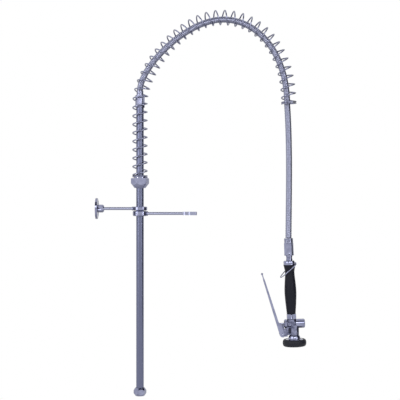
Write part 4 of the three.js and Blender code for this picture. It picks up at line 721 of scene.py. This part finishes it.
hub_start, hub_end = (corner.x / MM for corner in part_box("wall_hub_nut"))
head_end = hub_end - HEAD_LENGTH - GAP
arm_end = SOCKET_DEPTH - COLLAR_DIAMETER / 2 - GAP
wall_arm = lathe([(0, head_end - HEAD_LENGTH), (HEAD_DIAMETER, head_end - HEAD_LENGTH),
                  (HEAD_DIAMETER, head_end), (ARM_DIAMETER, head_end), (ARM_DIAMETER, arm_end), (0, arm_end)])
finish_piece(holder_of(wall_arm), "bracket_arm", turned_steel, "wall_bracket", "wall_arm", 0.3,
             along_x(0, WALL_Z))
hub = hexagon(HUB_FLATS, hub_start, hub_end, (HUB_FLATS * 2, HUB_FLATS - 3), (SHARP_END, 4))
cut(hub, rod(HEAD_DIAMETER + 2 * GAP, hub_start - 1, hub_end - HEAD_LENGTH),
    rod(ARM_DIAMETER + 2 * GAP, hub_start, hub_end + 1))
finish_piece(hub, "bracket_hub_nut", chrome, "wall_bracket", "wall_hub_nut", 0.4, along_x(0, WALL_Z))

hub_foot = 2 * (HUB_FLATS / math.sqrt(3) + 1)
spigot_rise = head_end - HEAD_LENGTH - GAP - FLANGE_X
face = FLANGE_THICKNESS - FLANGE_DISH
flat = FLANGE_DIAMETER - 2 * FLANGE_EDGE
rim = [(flat + 2 * FLANGE_EDGE * math.cos(math.pi / 12 * k),
        FLANGE_THICKNESS - FLANGE_EDGE + FLANGE_EDGE * math.sin(math.pi / 12 * k)) for k in range(7)]
dish = [(hub_foot + (flat - 4 - hub_foot) * (1 - k / 8),
         face + FLANGE_DISH * (0.5 + 0.5 * math.cos(math.pi * k / 8))) for k in range(9)]
flange = holder_of(lathe([(0, 0), (FLANGE_DIAMETER, 0)] + rim + dish
                         + [(HEAD_DIAMETER, face), (HEAD_DIAMETER, spigot_rise), (0, spigot_rise)], 96))
for k in range(3):
    angle = 2 * math.pi * k / 3 + math.pi / 2
    spot = shift(math.cos(angle) * HOLE_CIRCLE / 2, -math.sin(angle) * HOLE_CIRCLE / 2)
    sink = lathe([(0, face - HOLE_SINK), (HOLE, face - HOLE_SINK), (HOLE + 4.4, face),
                  (HOLE + 5.4, face + 4), (0, face + 4)], 40)
    cut(flange, moved(rod(HOLE, -1, 12, 40), spot), moved(sink, spot))
finish_piece(flange, "bracket_flange", chrome, "wall_bracket", "wall_flange", 0.3, along_x(FLANGE_X, WALL_Z))


# ---- Gun hook -------------------------------------------------------------------------
# A second collar below the first, held by two grub screws in front, carries a turned steel
# arm whose end is forged into a fork: the gun hangs in its slot by the neck.
HOOK_Z = 537
HOOK_COLLAR_HEIGHT = 15
HOOK_SCREWS = (-25, 5)
HOOK_REACH = 168
FORK_LENGTH = 42
FORK_THROAT = 0.58  # share of the fork's length that is solid
FORK_WIDTH = 34
SLOT_WIDTH = 21.5
FORK_THICKNESS = 10

finish_piece(arm_collar(HOOK_COLLAR_HEIGHT, HOOK_SCREWS), "hook_clamp_collar", chrome, "gun_hook",
             "hook_collar", 0.4, shift(z=HOOK_Z))
for k, angle in enumerate(HOOK_SCREWS, 1):
    grub_screw(f"hook_grub_screw_{k}", "gun_hook", angle, HOOK_Z, screw_end, f"hook_collar_screw_{k}")


def arc(cx, cy, r, start, end, steps):
    """Points of an arc between two angles in degrees."""
    angles = [math.radians(start + (end - start) * k / steps) for k in range(steps + 1)]
    return [(cx + r * math.cos(a), cy + r * math.sin(a)) for a in angles]


def prism(outline, low, high):
    """An outline of (x, y) millimetres, extruded between two heights."""
    bm = bmesh.new()
    base, top = ([bm.verts.new((x * MM, y * MM, z * MM)) for x, y in outline] for z in (low, high))
    bm.faces.new(base)
    bm.faces.new(top)
    for k in range(len(base)):
        bm.faces.new([base[k - 1], base[k], top[k], top[k - 1]])
    bmesh.ops.recalc_face_normals(bm, faces=bm.faces)
    return bm


def fork_outline():
    """The fork in plan: a shank that swells into two round-ended tines."""
    start = HOOK_REACH - FORK_LENGTH
    throat = start + FORK_LENGTH * FORK_THROAT
    tine = (FORK_WIDTH - SLOT_WIDTH) / 4
    half, shank = FORK_WIDTH / 2, ARM_DIAMETER / 2 - 0.3
    swell = [(start + (throat - start) * k / 12,
              -shank - (half - shank) * (0.5 - 0.5 * math.cos(math.pi * k / 12))) for k in range(13)]
    lower = (swell + arc(HOOK_REACH - tine, -half + tine, tine, -90, 90, 8)
             + arc(throat, 0, SLOT_WIDTH / 2, -90, -180, 10))
    return lower + [(x, -y) for x, y in reversed(lower[:-1])]


hook_arm = holder_of(prism(fork_outline(), -FORK_THICKNESS / 2, FORK_THICKNESS / 2))
join(hook_arm, moved(rod(ARM_DIAMETER, -arm_end, HOOK_REACH - FORK_LENGTH + 8, 48), along_x()))
finish_piece(hook_arm, "hook_fork_arm", turned_steel, "gun_hook", "hook_arm", 1.3, shift(z=HOOK_Z))


# ---- Gun: hose joint ------------------------------------------------------------------
# The crimped end of the hose is trapped in a swivel nut of chrome-plated brass with a flared
# lower rim. The swivel spigot turns in that nut and screws into the gun's collar.
swivel = next(j for j in frame["joints"] if j["name"] == "gun_swivel")
upright_to_gun = Vector((0, 0, 1)).rotation_difference(Vector(swivel["axis"]))
GUN = Matrix.Translation(swivel["pos_m"]) @ upright_to_gun.to_matrix().to_4x4()
END_FERRULE = 26.5
SWIVEL_TOP = 13.3
SWIVEL_END = 51
SPIGOT = 19
SPIGOT_RELIEF = 17.4
SPIGOT_FLANGE = 20.6


def down(profile, steps=72):
    """A profile of (diameter, depth below the gun's top), turned round the gun's axis."""
    return lathe([(d, -depth) for d, depth in profile], steps)


def bore(diameter, start, end):
    """A rod between two depths below the gun's top."""
    return rod(diameter, -start, -end)


def on_gun(made, name, material, node, edge=EDGE, body="gun", extra=Matrix.Identity(4)):
    return finish_piece(made, name, material, body, node, edge, GUN @ extra)


end_ferrule = down([(10, 0), (END_FERRULE - 2, 0), (END_FERRULE, 1)] + crimps(END_FERRULE, 2.6, 3.2)
                   + [(END_FERRULE, 13), (16, 13), (16, 18.6), (20.6, 18.6), (20.6, 23.6), (10, 23.6),
                      (10, 0)])
on_gun(holder_of(end_ferrule), "hose_lower_ferrule", turned_steel, "hose_end_ferrule", 0, "hanging_hose")
swivel_nut = hexagon(24, -SWIVEL_END, -SWIVEL_TOP, (60, 24), (SHARP_END, 1.5))
join(swivel_nut, down([(0, SWIVEL_END), (27, SWIVEL_END), (29, 49.5), (29, 48.5), (25, 46.5), (24, 45),
                       (0, 45)]))
cut(swivel_nut, bore(21.2, 18.3, 43), bore(16.6, 12, 30), bore(19.6, 42, 52))
on_gun(swivel_nut, "gun_swivel_nut", chrome, "swivel_nut", 0.4, "hanging_hose")
spigot = down([(9, 26.7), (18, 26.7), (18, 36.7), (SPIGOT_FLANGE, 36.7), (SPIGOT_FLANGE, 42.7),
               (SPIGOT, 42.7), (SPIGOT, 55), (SPIGOT_RELIEF, 56), (SPIGOT_RELIEF, 60), (SPIGOT, 61),
               (SPIGOT, 65.7), (15, 65.7), (15, 71), (9, 71), (9, 26.7)])
on_gun(holder_of(spigot), "gun_swivel_spigot", chrome, "swivel_spigot", 0.25)


# ---- Gun: collar, grip and neck nut ---------------------------------------------------
# A chromed collar caps the grip and carries the hold-open ring in a drilled lug. The grip is
# moulded in black plastic over a brass tube, with a fine spark-eroded texture.
COLLAR_TOP = 66
COLLAR_END = 78
COLLAR_WIDTH = 35
COLLAR_FLAT = 14
LUG = (17, 74.3)
LUG_DIAMETER = 7
LUG_THICKNESS = 5
LUG_ROOT = 10
EYE = 4
TUBE_SOCKET = 16.6
GUN_WATERWAY = 9
GRIP_END = 223
NECK_FLATS = 27
NECK_END = 238.1
GRIP_POINTS = ((78.3, 36), (94, 29.2), (106, 28), (160, 35), (223, 26))
GRIP_RINGS = 20  # rings between two of the points
FLUTES = 12
FLUTE_DEPTH = 0.35
FLUTE_START, FLUTE_END, FLUTE_FADE = 84, 216, 12


def cross_rod(diameter, half, x, depth, steps=32):
    """A rod across the gun, from front to back."""
    return moved(rod(diameter, -half, half, steps), shift(x, 0, -depth) @ spin(90, "X"))


def block(width, deep, height, x, y, z):
    bm = bmesh.new()
    bmesh.ops.create_cube(bm, size=1)
    return moved(bm, shift(x, y, z) @ Matrix.Diagonal((width * MM, deep * MM, height * MM, 1)))


collar = holder_of(down([(0, COLLAR_TOP), (28, COLLAR_TOP), (32, 66.6), (COLLAR_WIDTH, 69),
                         (COLLAR_WIDTH, 73.5), (34, 74), (34, 75), (COLLAR_WIDTH, 75.5),
                         (COLLAR_WIDTH, COLLAR_END), (0, COLLAR_END)], 96))
cut(collar, block(COLLAR_WIDTH, COLLAR_WIDTH, 36, COLLAR_FLAT + COLLAR_WIDTH / 2, 0,
                  -(COLLAR_TOP + COLLAR_END) / 2))
join(collar, cross_rod(LUG_DIAMETER, LUG_THICKNESS / 2, *LUG),
     block(LUG[0] - LUG_ROOT, LUG_THICKNESS, LUG_DIAMETER * 0.7, (LUG[0] + LUG_ROOT) / 2, 0, -LUG[1]))
cut(collar, cross_rod(EYE, GUN_WATERWAY, *LUG), bore(15.6, 65, 71.3), bore(GUN_WATERWAY, 66, 79),
    bore(TUBE_SOCKET, 73.7, 79))
on_gun(collar, "gun_top_collar", chrome, "top_collar", 0.35)


def moulded(name, tones, clouds, rough, grain, strength, specular):
    """Moulded plastic or rubber: clouds vary its tone and gloss, a fine grain its surface."""
    material, tree, shader, place = new_material(name, 0)
    worn = noise(tree, place, *clouds)
    tint(tree, shader, worn, *tones)
    gloss(tree, shader, worn, *rough)
    relief(tree, shader, noise(tree, place, *grain), strength, 0.0002)
    shader.inputs["Specular IOR Level"].default_value = specular
    return material


def smooth_profile(points, count):
    """A Catmull-Rom curve through (depth, diameter) points, as (diameter, depth) steps."""
    out = []
    for k in range(len(points) - 1):
        p = [Vector(points[max(0, min(len(points) - 1, k + j))]) for j in (-1, 0, 1, 2)]
        for t in (i / count for i in range(count)):
            v = 0.5 * (2 * p[1] + (p[2] - p[0]) * t + (2 * p[0] - 5 * p[1] + 4 * p[2] - p[3]) * t * t
                       + (3 * p[1] - p[0] - 3 * p[2] + p[3]) * t ** 3)
            out.append((v.y, v.x))
    return out + [(points[-1][1], points[-1][0])]


# Black polyamide from a spark-eroded tool: a fine dull grain over a soft sheen.
polyamide = moulded("moulded_black_polyamide", ("#12131f", "#191a27"), (45, 4), (0.38, 0.55), (1500, 3),
                    0.25, 0.2)
grip_start = GRIP_POINTS[0][0]
grip = holder_of(down([(TUBE_SOCKET, grip_start)] + smooth_profile(GRIP_POINTS, GRIP_RINGS)
                      + [(TUBE_SOCKET, GRIP_END), (TUBE_SOCKET, grip_start)], 144))
for vert in grip.data.vertices:
    r = math.hypot(vert.co.x, vert.co.y)
    depth = -vert.co.z / MM
    if r > 10 * MM and FLUTE_START < depth < FLUTE_END:
        fade = min(1, (depth - FLUTE_START) / FLUTE_FADE, (FLUTE_END - depth) / FLUTE_FADE)
        wave = 0.5 - 0.5 * math.cos(FLUTES * math.atan2(vert.co.y, vert.co.x))
        narrowed = (r - FLUTE_DEPTH * MM * fade * wave ** 6) / r
        vert.co.x *= narrowed
        vert.co.y *= narrowed
on_gun(grip, "gun_grip", polyamide, "grip", 0)
neck_nut = hexagon(NECK_FLATS, -NECK_END, -GRIP_END - GAP, (NECK_FLATS, NECK_FLATS), (1.5, 1.5), 0)
cut(neck_nut, bore(TUBE_SOCKET, 222, 240))
on_gun(neck_nut, "gun_neck_nut", chrome, "neck_nut", 0.4)


# ---- Gun: valve body ------------------------------------------------------------------
# A brass casting, machined and chromed: a cross barrel for the valve, the inlet above it,
# the outlet barrel below, and a slotted lug with the ear that carries the lever.
VALVE_DEPTH = 252
OUTLET_X = 6.5
RETURN_SPRING = (10.6, 33.7)
LUG_WIDTH = 18
PIVOT = (-28, 283)
PIVOT_HOLE = 5.6
EAR_WIDTH = 11.4
STEM_HOLE = 6.6
POCKET = (-7.2, 272)
POCKET_HALF, POCKET_RADIUS = 4.5, 4
WRENCH_PLUG_X = -7.5


def plain_finish(name, colour, metallic, low, high):
    """A finish with a fine variation of its gloss."""
    material, tree, shader, place = new_material(name, metallic)
    shader.inputs["Base Color"].default_value = linear(colour)
    gloss(tree, shader, noise(tree, place, 300), low, high)
    return material


def valve_axis(bm):
    """Lays a turned piece along the valve's axis, across the gun towards +X."""
    return moved(bm, along_x(0, -VALVE_DEPTH))


def pocket(side):
    """An upright slot with round ends, sunk into one face of the lug."""
    outline = (arc(0, POCKET_HALF, POCKET_RADIUS, 0, 180, 12)
               + arc(0, -POCKET_HALF, POCKET_RADIUS, 180, 360, 12))
    return moved(prism(outline, -4, 4), shift(POCKET[0], side * LUG_WIDTH / 2, -POCKET[1]) @ spin(90, "X"))


def bm_of(made):
    """A bmesh copy of a helper object, which is removed."""
    bm = bmesh.new()
    bm.from_mesh(made.data)
    bpy.data.objects.remove(made)
    return bm


barrel = lathe([(0, -14), (23, -14), (25, -13), (25, 8), (24, 9), (22, 9), (22, 17), (0, 17)])
body = holder_of(valve_axis(barrel))
inlet = holder_of(down([(0, 238.4), (25.5, 238.4), (NECK_FLATS, 239.2), (NECK_FLATS, 256), (0, 256)]))
outlet = down([(0, 248), (29, 248), (29, 281.6), (27.8, 282.2), (27.8, 283), (29, 283.6), (29, 285),
               (0, 285)])
join(inlet, moved(outlet, shift(OUTLET_X)))
cut(inlet, valve_axis(rod(28.2, 9, 80)))
lug = holder_of(block(16.5, LUG_WIDTH, 32.5, -11.25, 0, -268.25))
cut(lug, valve_axis(rod(27.8, -40, -14)))
plug_place = shift(WRENCH_PLUG_X, 0, -VALVE_DEPTH) @ spin(90, "X")
join(body, bm_of(inlet), bm_of(lug), cross_rod(13, EAR_WIDTH / 2, *PIVOT),
     block(14.5, EAR_WIDTH, 23.4, -20.75, 0, -PIVOT[1] + 5.5),
     block(7.4, EAR_WIDTH, 27.6, -26.3, 0, -PIVOT[1] + 13.6),
     moved(lathe([(0, 0), (12, 0), (12, 15), (10.6, 16), (0, 16)], 48), plug_place))
cut(body, moved(rod(5, 14.6, 17, 6), plug_place), bore(TUBE_SOCKET, 237, 244.4), bore(11, 238, 252),
    valve_axis(rod(13, -6, 1)), valve_axis(rod(GUN_WATERWAY, -6, 17)), valve_axis(rod(18, 3, 18)),
    moved(bore(GUN_WATERWAY, 252, 288), shift(8.5)), valve_axis(rod(STEM_HOLE, -28, 0)),
    valve_axis(rod(11.6, -28, -10.4)), cross_rod(PIVOT_HOLE, 18, *PIVOT), pocket(1), pocket(-1))
# The plated casting's dark rim colour is painted shade at edges and undersides.
cast_chrome = chrome_plate("plated_casting", ("#575a72", "#9598b2"), "#2e3040", 130, 0.1)
on_gun(body, "gun_valve_body", cast_chrome, "valve_body", 0.4)
# Painted shade: the faces inside the two pockets of the lug get a dark second material, so the recesses read
# dark.
body.data.materials.append(plain_finish("pocket_painted_shade", "#3b3d4c", 1, 0.4, 0.55))
from_gun = GUN.inverted()
for face in body.data.polygons:
    spot = from_gun @ face.center / MM
    within = (abs(spot.x - POCKET[0]) < POCKET_RADIUS + 0.3
              and abs(spot.z + POCKET[1]) < POCKET_HALF + POCKET_RADIUS + 0.3)
    if within and LUG_WIDTH / 2 - 4.1 < abs(spot.y) < LUG_WIDTH / 2 - 0.05:
        face.material_index = 1

bonnet = lathe([(0, 34.7), (15, 34.7), (15, 17.3), (22.6, 17.3), (22.6, 11.2), (25, 11.2), (27, 12.2),
                (27, 34.9), (25.8, 37.2), (22, 38.7), (9, 38.7), (8, 37.9), (0, 37.9)], 96)
on_gun(holder_of(valve_axis(bonnet)), "gun_bonnet", chrome, "bonnet", 0.3)
packing = hexagon(23, -22.3, -14.3, (20, 60), (3, SHARP_END))
cut(packing, rod(STEM_HOLE, -24, -13))
on_gun(packing, "gun_packing_nut", chrome, "packing_nut", 0.4, "gun", along_x(0, -VALVE_DEPTH))
stem = lathe([(0, -41.8), (3, -41.8), (4.6, -41.4), (6, -40.3), (6, 6.6), (10, 6.6), (10, 9.6), (6, 9.6),
              (6, 11.6), (0, 11.6)], 40)
on_gun(holder_of(valve_axis(stem)), "gun_valve_stem", turned_steel, "valve_stem", 0.2, "stem")
return_route = [GUN @ Vector((x * MM, 0, -VALVE_DEPTH * MM)) for x in RETURN_SPRING]
return_spring = wind("valve_return_spring", return_route, 6, 1, 1.7, 12, 1.4)
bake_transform(return_spring)
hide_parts("valve_spring")


# ---- Gun: lever and pin ---------------------------------------------------------------
# A channel pressed from steel sheet and chromed. Its cheeks widen into a pointed foot that
# straddles the ear; the web stops above the pivot, and a turned ball closes the free end.
LEAN = 14.8
LEVER_WIDTH = 16
SHEET = 2
FOOT_BACK = 8.5
FOOT_FRONT = 5.5
FOOT_POINT = 8.5
SHOULDER = 14
WAIST = (5.5, 19, 27)
ARM_START = 38
ARM_DEPTH = 8
TIP_DEPTH = 5
CHANNEL_END = 170
LEVER_LENGTH = 188
BALL_RADIUS = 3.3


def lever_side(inset):
    """Side view of the channel, pivot at the origin: inset gives the outline of its hollow."""
    left, right, waist = inset - FOOT_BACK, inset + FOOT_FRONT, inset + WAIST[0]
    point = (left if inset else 0, -FOOT_POINT)
    swell = -FOOT_POINT * 0.6

    def curve(a, b, c):
        return [tuple(a[i] * (1 - t) ** 2 + 2 * b[i] * t * (1 - t) + c[i] * t * t for i in (0, 1))
                for t in [k / 8 for k in range(1, 9)]]

    foot = curve((left, 0), (left, swell), point) + curve(point, (right, swell), (right, SHOULDER / 2))
    cheek = [(right, SHOULDER), (waist, WAIST[1]), (waist, WAIST[2]), (left + ARM_DEPTH, ARM_START)]
    end = [(left + TIP_DEPTH, CHANNEL_END + inset), (left, CHANNEL_END + inset)]
    return [(left, ARM_START), (left, 0)] + foot + cheek + end


upright = spin(90, "X")
half = LEVER_WIDTH / 2
lever = holder_of(moved(prism(lever_side(0), -half, half), upright))
hollow = moved(prism(lever_side(SHEET), SHEET - half, half - SHEET), shift(z=-SHEET) @ upright)
ball = [(2 * BALL_RADIUS * math.sin(a), LEVER_LENGTH - BALL_RADIUS * math.cos(a))
        for a in (math.pi * k / 16 for k in range(3, 16))]
knob = lathe([(0, 168), (4.6, 168), (4.6, 172), (3.4, 174), (3.4, LEVER_LENGTH - 3.1)] + ball
             + [(0, LEVER_LENGTH + BALL_RADIUS)], 40)
cut(lever, hollow, block(48, 2 * (half - SHEET), 26.4, 0, 0, -4.4),
    moved(rod(PIVOT_HOLE, -16, 16, 32), upright))
join(lever, moved(knob, shift(TIP_DEPTH / 2 - FOOT_BACK)))
at_pivot = shift(PIVOT[0], 0, -PIVOT[1])
on_gun(lever, "gun_squeeze_lever", chrome, "lever", 0.8, "squeeze_lever", at_pivot @ spin(-LEAN, "Y"))
pin = lathe([(0, -9.9), (5, -9.9), (7, -9.3), (8, -8.3), (5, -8.3), (5, 8.3), (8, 8.3), (7, 9.3), (5, 9.9),
             (0, 9.9)], 40)
on_gun(holder_of(pin), "gun_lever_pin", turned_steel, "lever_pin", 0.2, "gun", at_pivot @ upright)


# ---- Gun: hold-open ring --------------------------------------------------------------
# A closed loop of polished steel wire through the collar's lug. It hangs round the grip and
# is swung down over the lever's ball to hold the valve open.
RING_WIRE = 2.8
RING_LENGTH = 60
RING_WIDTH = 44
RING_BEND = 10
RING_TIP = 9
RING_DROP = 42
RING_ROLL = 7


def ring_route():
    """Half of the loop from the eye to its far end, then the other half mirrored."""
    half, bend, run = RING_WIDTH / 2, RING_BEND, RING_LENGTH * 0.55
    corner = [(bend * t * t, (half - bend) + bend * (2 * t - t * t)) for t in [k / 8 for k in range(9)]]
    straight = [(bend + (run - bend) * k / 4, half - k) for k in (1, 2, 3, 4)]
    far = [(run, half - 4), (RING_LENGTH - RING_TIP, half - 8), (RING_LENGTH, RING_TIP), (RING_LENGTH, 0)]
    tip = [(point.x / MM, point.z / MM) for point in bezier(far, 16)[1:]]
    half_loop = corner + straight + tip
    return half_loop + [(x, -y) for x, y in reversed(half_loop[:-1])]


def wire_loop(points, diameter, sides=16):
    """A round wire along a closed loop in the XY plane."""
    bm = bmesh.new()
    count = len(points)
    angles = [2 * math.pi * j / sides for j in range(sides)]
    rings = []
    for k, (x, y) in enumerate(points):
        tangent = (Vector(points[(k + 1) % count]) - Vector(points[k - 1])).normalized()
        across = Vector((tangent.y, -tangent.x, 0))
        spokes = [across * math.cos(a) + Vector((0, 0, math.sin(a))) for a in angles]
        rings.append([bm.verts.new((Vector((x, y, 0)) + spoke * diameter / 2) * MM) for spoke in spokes])
    for k in range(count):
        for j in range(sides):
            last, n = rings[k - 1], (j + 1) % sides
            bm.faces.new([last[j], last[n], rings[k][n], rings[k][j]])
    bmesh.ops.recalc_face_normals(bm, faces=bm.faces)
    return bm


loop = holder_of(wire_loop([(-x, y) for x, y in ring_route()], RING_WIRE))
on_gun(loop, "gun_hold_open_ring", wire_finish, "hold_open_ring", 0, "hold_ring",
       shift(LUG[0], 0, -LUG[1]) @ spin(-RING_DROP, "Y") @ spin(RING_ROLL, "X"))


# ---- Rose -----------------------------------------------------------------------------
# A chromed dome over a shallow cup. The perforated stainless plate is held by one slotted
# screw, and a moulded rubber bumper is stretched round the rim.
ROSE_TOP = 285.3
ROSE_BOTTOM = 314
CUP_TOP = 297.5
ROSE_DIAMETER = 57.4
ROSE_BORE = 55
BUMPER_DIAMETER = 69.6
BUMPER = (298, 318.3)
PLATE_DIAMETER = 54.4
PLATE_SHEET = 2
SCREW_BORE = 5.6
SPRAY_HOLE = 1.7
SPRAY_RINGS = ((9, 10), (13, 14), (17, 18), (21, 22))

on_rose = shift(OUTLET_X)
quarter = [math.pi / 2 * k / 6 for k in range(7)]
dome = [(23 + 13 * math.sin(a), ROSE_TOP + 11.5 * (1 - math.cos(a))) for a in quarter]
shell = holder_of(down([(0, ROSE_TOP)] + dome + [
    (38, CUP_TOP), (50, CUP_TOP + 0.5), (55, 300), (ROSE_DIAMETER, 303), (ROSE_DIAMETER, ROSE_BOTTOM),
    (0, ROSE_BOTTOM)], 120))
cut(shell, bore(ROSE_BORE, 300, 316))
join(shell, bore(12, 299, 311.7))
cut(shell, bore(SCREW_BORE, 302, 313), moved(bore(GUN_WATERWAY, 284, 301), shift(2)))
on_gun(shell, "rose_dome", chrome, "rose_shell", 0.3, "gun", on_rose)

# Black rubber, matt, with a little bloom.
rubber = moulded("moulded_black_rubber", ("#14151f", "#20212d"), (70, 5), (0.45, 0.65), (900, 2), 0.2, 0.3)
inner = ROSE_DIAMETER + 2 * GAP
top, end = BUMPER
tyre = [(inner, ROSE_BOTTOM + GAP), (inner, top + 4.4)]
for angle in (math.pi * k / 16 for k in range(17)):
    bulge = (BUMPER_DIAMETER - inner) * math.sin(angle) ** 0.85
    tyre.append((inner + bulge, (top + end) / 2 - (end - top) / 2 * math.cos(angle)))
tyre += [(inner - 7, end), (inner - 8, end - 0.5), (inner - 8, ROSE_BOTTOM + GAP), (inner, ROSE_BOTTOM + GAP)]
on_gun(holder_of(down(tyre, 120)), "rose_rubber_bumper", rubber, "rose_bumper", 0, "gun", on_rose)


def plate_nodes(material):
    """Copies a drill to evenly spaced places on a ring."""
    tree, start, end = group_with("spray_holes", {"Radius": "Float", "Count": "Int"})
    drill, radius, count = start.outputs[:3]
    places = add(tree, "GeometryNodeCurvePrimitiveCircle", links={"Resolution": count, "Radius": radius})
    points = add(tree, "GeometryNodeCurveToPoints", links={"Curve": places.outputs[0], "Count": count})
    copies = add(tree, "GeometryNodeInstanceOnPoints", links={"Points": points.outputs[0], "Instance": drill})
    return end_group(tree, end, copies.outputs[0], material)


spray_tree = plate_nodes(turned_steel)
low, high = -ROSE_BOTTOM, PLATE_SHEET - ROSE_BOTTOM
plate = holder_of(lathe([(SCREW_BORE, low), (PLATE_DIAMETER, low), (PLATE_DIAMETER, high), (SCREW_BORE, high),
                         (SCREW_BORE, low)], 96))
for radius, count in SPRAY_RINGS:
    drill = holder_of(rod(SPRAY_HOLE, low - 1, low + 3, 10))
    cut(plate, bm_of(run_nodes(drill, spray_tree, {"Radius": radius * MM, "Count": count}, "drills")))
on_gun(plate, "rose_spray_plate", turned_steel, "spray_plate", 0, "gun", on_rose)
screw = holder_of(down([(0, 302.3), (5, 302.3), (5, 314.3), (9, 314.3), (9, 315.2), (7.4, 316.3),
                        (0, 316.5)], 40))
cut(screw, block(11, 1.2, 1.6, 0, 0, -316.5))
on_gun(screw, "rose_slotted_screw", turned_steel, "rose_screw", 0.15, "gun", on_rose)


# ---- Pieces inside --------------------------------------------------------------------
# Washers and seals of black nitrile rubber and the brass handle tube stay as the frame has
# them and only take their finish.
SEALS = ["foot_sealing_washer", "hose_top_washer", "swivel_seal", "bonnet_ring", "stem_seal", "valve_disc"]
for material, names in ((plain_finish("nitrile_rubber", "#141419", 0, 0.55, 0.7), SEALS),
                        (plain_finish("drawn_brass", "#b08d57", 1, 0.25, 0.4), ["handle_tube"])):
    for name in names:
        piece = frame["nodes"][name]
        piece.data.materials.clear()
        piece.data.materials.append(material)


# ---- Floor, backdrop and light --------------------------------------------------------
# A plain pale floor under the foot, a white surround and soft studio light from both sides.
# Dark cards beside and above the camera give the bright metal its dark bands.
FLOOR_SIZE = 12
FLOOR_DROP = 4
CARDS = {"right_card": ((1.75, 0.15, 0.9), (1.6, 2.6), (0, 0, 0.6), "#2b2c38"),
         "top_card": ((0.2, -1.1, 2.25), (2.6, 1.5), (0.2, 0, 0.6), "#77798c")}
LAMP_AIM = (0.18, 0, 0.57)
WHITE = (1, 1, 1, 1)


def looked_at(tree):
    """One for camera, glossy and transmission rays, and zero for the rest."""
    path = add(tree, "ShaderNodeLightPath").outputs
    seen = maths(tree, "MAXIMUM", path["Is Camera Ray"], path["Is Glossy Ray"])
    return maths(tree, "MAXIMUM", seen, path["Is Transmission Ray"])


def backdrop_white():
    """Pale paint that takes the shadow, and plain white to the camera, gloss and glass."""
    material = bpy.data.materials.new("pale_floor")
    material.use_nodes = True
    tree = material.node_tree
    tree.nodes.clear()
    matt = add(tree, "ShaderNodeBsdfDiffuse", {"Color": linear("#f2f2f2")})
    white = add(tree, "ShaderNodeEmission", {"Color": WHITE, "Strength": 1})
    mixed = add(tree, "ShaderNodeMixShader",
                links={0: looked_at(tree), 1: matt.outputs[0], 2: white.outputs[0]})
    add(tree, "ShaderNodeOutputMaterial", links={"Surface": mixed.outputs[0]})
    return material


def card_paper(name, colour):
    """Matt card that only reflections and light meet: the camera looks through it."""
    material = plain_finish(name, colour, 0, 0.85, 0.95)
    tree = material.node_tree
    paper = tree.nodes["Principled BSDF"].outputs[0]
    seen = add(tree, "ShaderNodeLightPath").outputs["Is Camera Ray"]
    clear = add(tree, "ShaderNodeBsdfTransparent").outputs[0]
    mixed = add(tree, "ShaderNodeMixShader", links={0: seen, 1: paper, 2: clear})
    tree.links.new(mixed.outputs[0], tree.nodes["Material Output"].inputs["Surface"])
    return material


def stage_sheet(name, place, size, material):
    """A flat rectangle of the stage."""
    bm = bmesh.new()
    bmesh.ops.create_grid(bm, x_segments=2, y_segments=2, size=0.5)
    sheet = holder_of(moved(bm, place @ Matrix.Diagonal((*size, 1, 1))), name)
    sheet.data.materials.append(material)


def towards(place, aim):
    return (Vector(aim) - Vector(place)).to_track_quat("-Z", "Y")


def soft_light(name, place, size, power):
    lamp = bpy.data.lights.new(name, "AREA")
    lamp.shape = "RECTANGLE"
    lamp.size, lamp.size_y = size
    lamp.energy = power
    made = linked(bpy.data.objects.new(name, lamp))
    made.location = place
    made.rotation_euler = towards(place, LAMP_AIM).to_euler()


floor_place = Matrix.Translation((0, 0, cad_box[0][2] - FLOOR_DROP * MM))
stage_sheet("floor", floor_place, (FLOOR_SIZE, FLOOR_SIZE), backdrop_white())
for name, (place, size, aim, grey) in CARDS.items():
    turned = towards(place, aim).to_matrix().to_4x4()
    stage_sheet(name, Matrix.Translation(place) @ turned, size, card_paper(name + "_paper", grey))

world = bpy.data.worlds.new("studio")
bpy.context.scene.world = world
world.use_nodes = True
tree = world.node_tree
tree.nodes.clear()
light = add(tree, "ShaderNodeBackground", {"Color": WHITE},
            {"Strength": spread(tree, looked_at(tree), (0.55, 1.0))})
add(tree, "ShaderNodeOutputWorld", links={"Surface": light.outputs[0]})
soft_light("left_softbox", (-1.7, -1.6, 1.2), (0.5, 1.6), 12)
soft_light("right_softbox", (1.3, -1.0, 0.9), (0.08, 1.3), 2.2)
soft_light("front_softbox", (0.5, -2.3, 1.5), (1.8, 0.7), 12)
bpy.context.scene.view_settings.view_transform = "Standard"
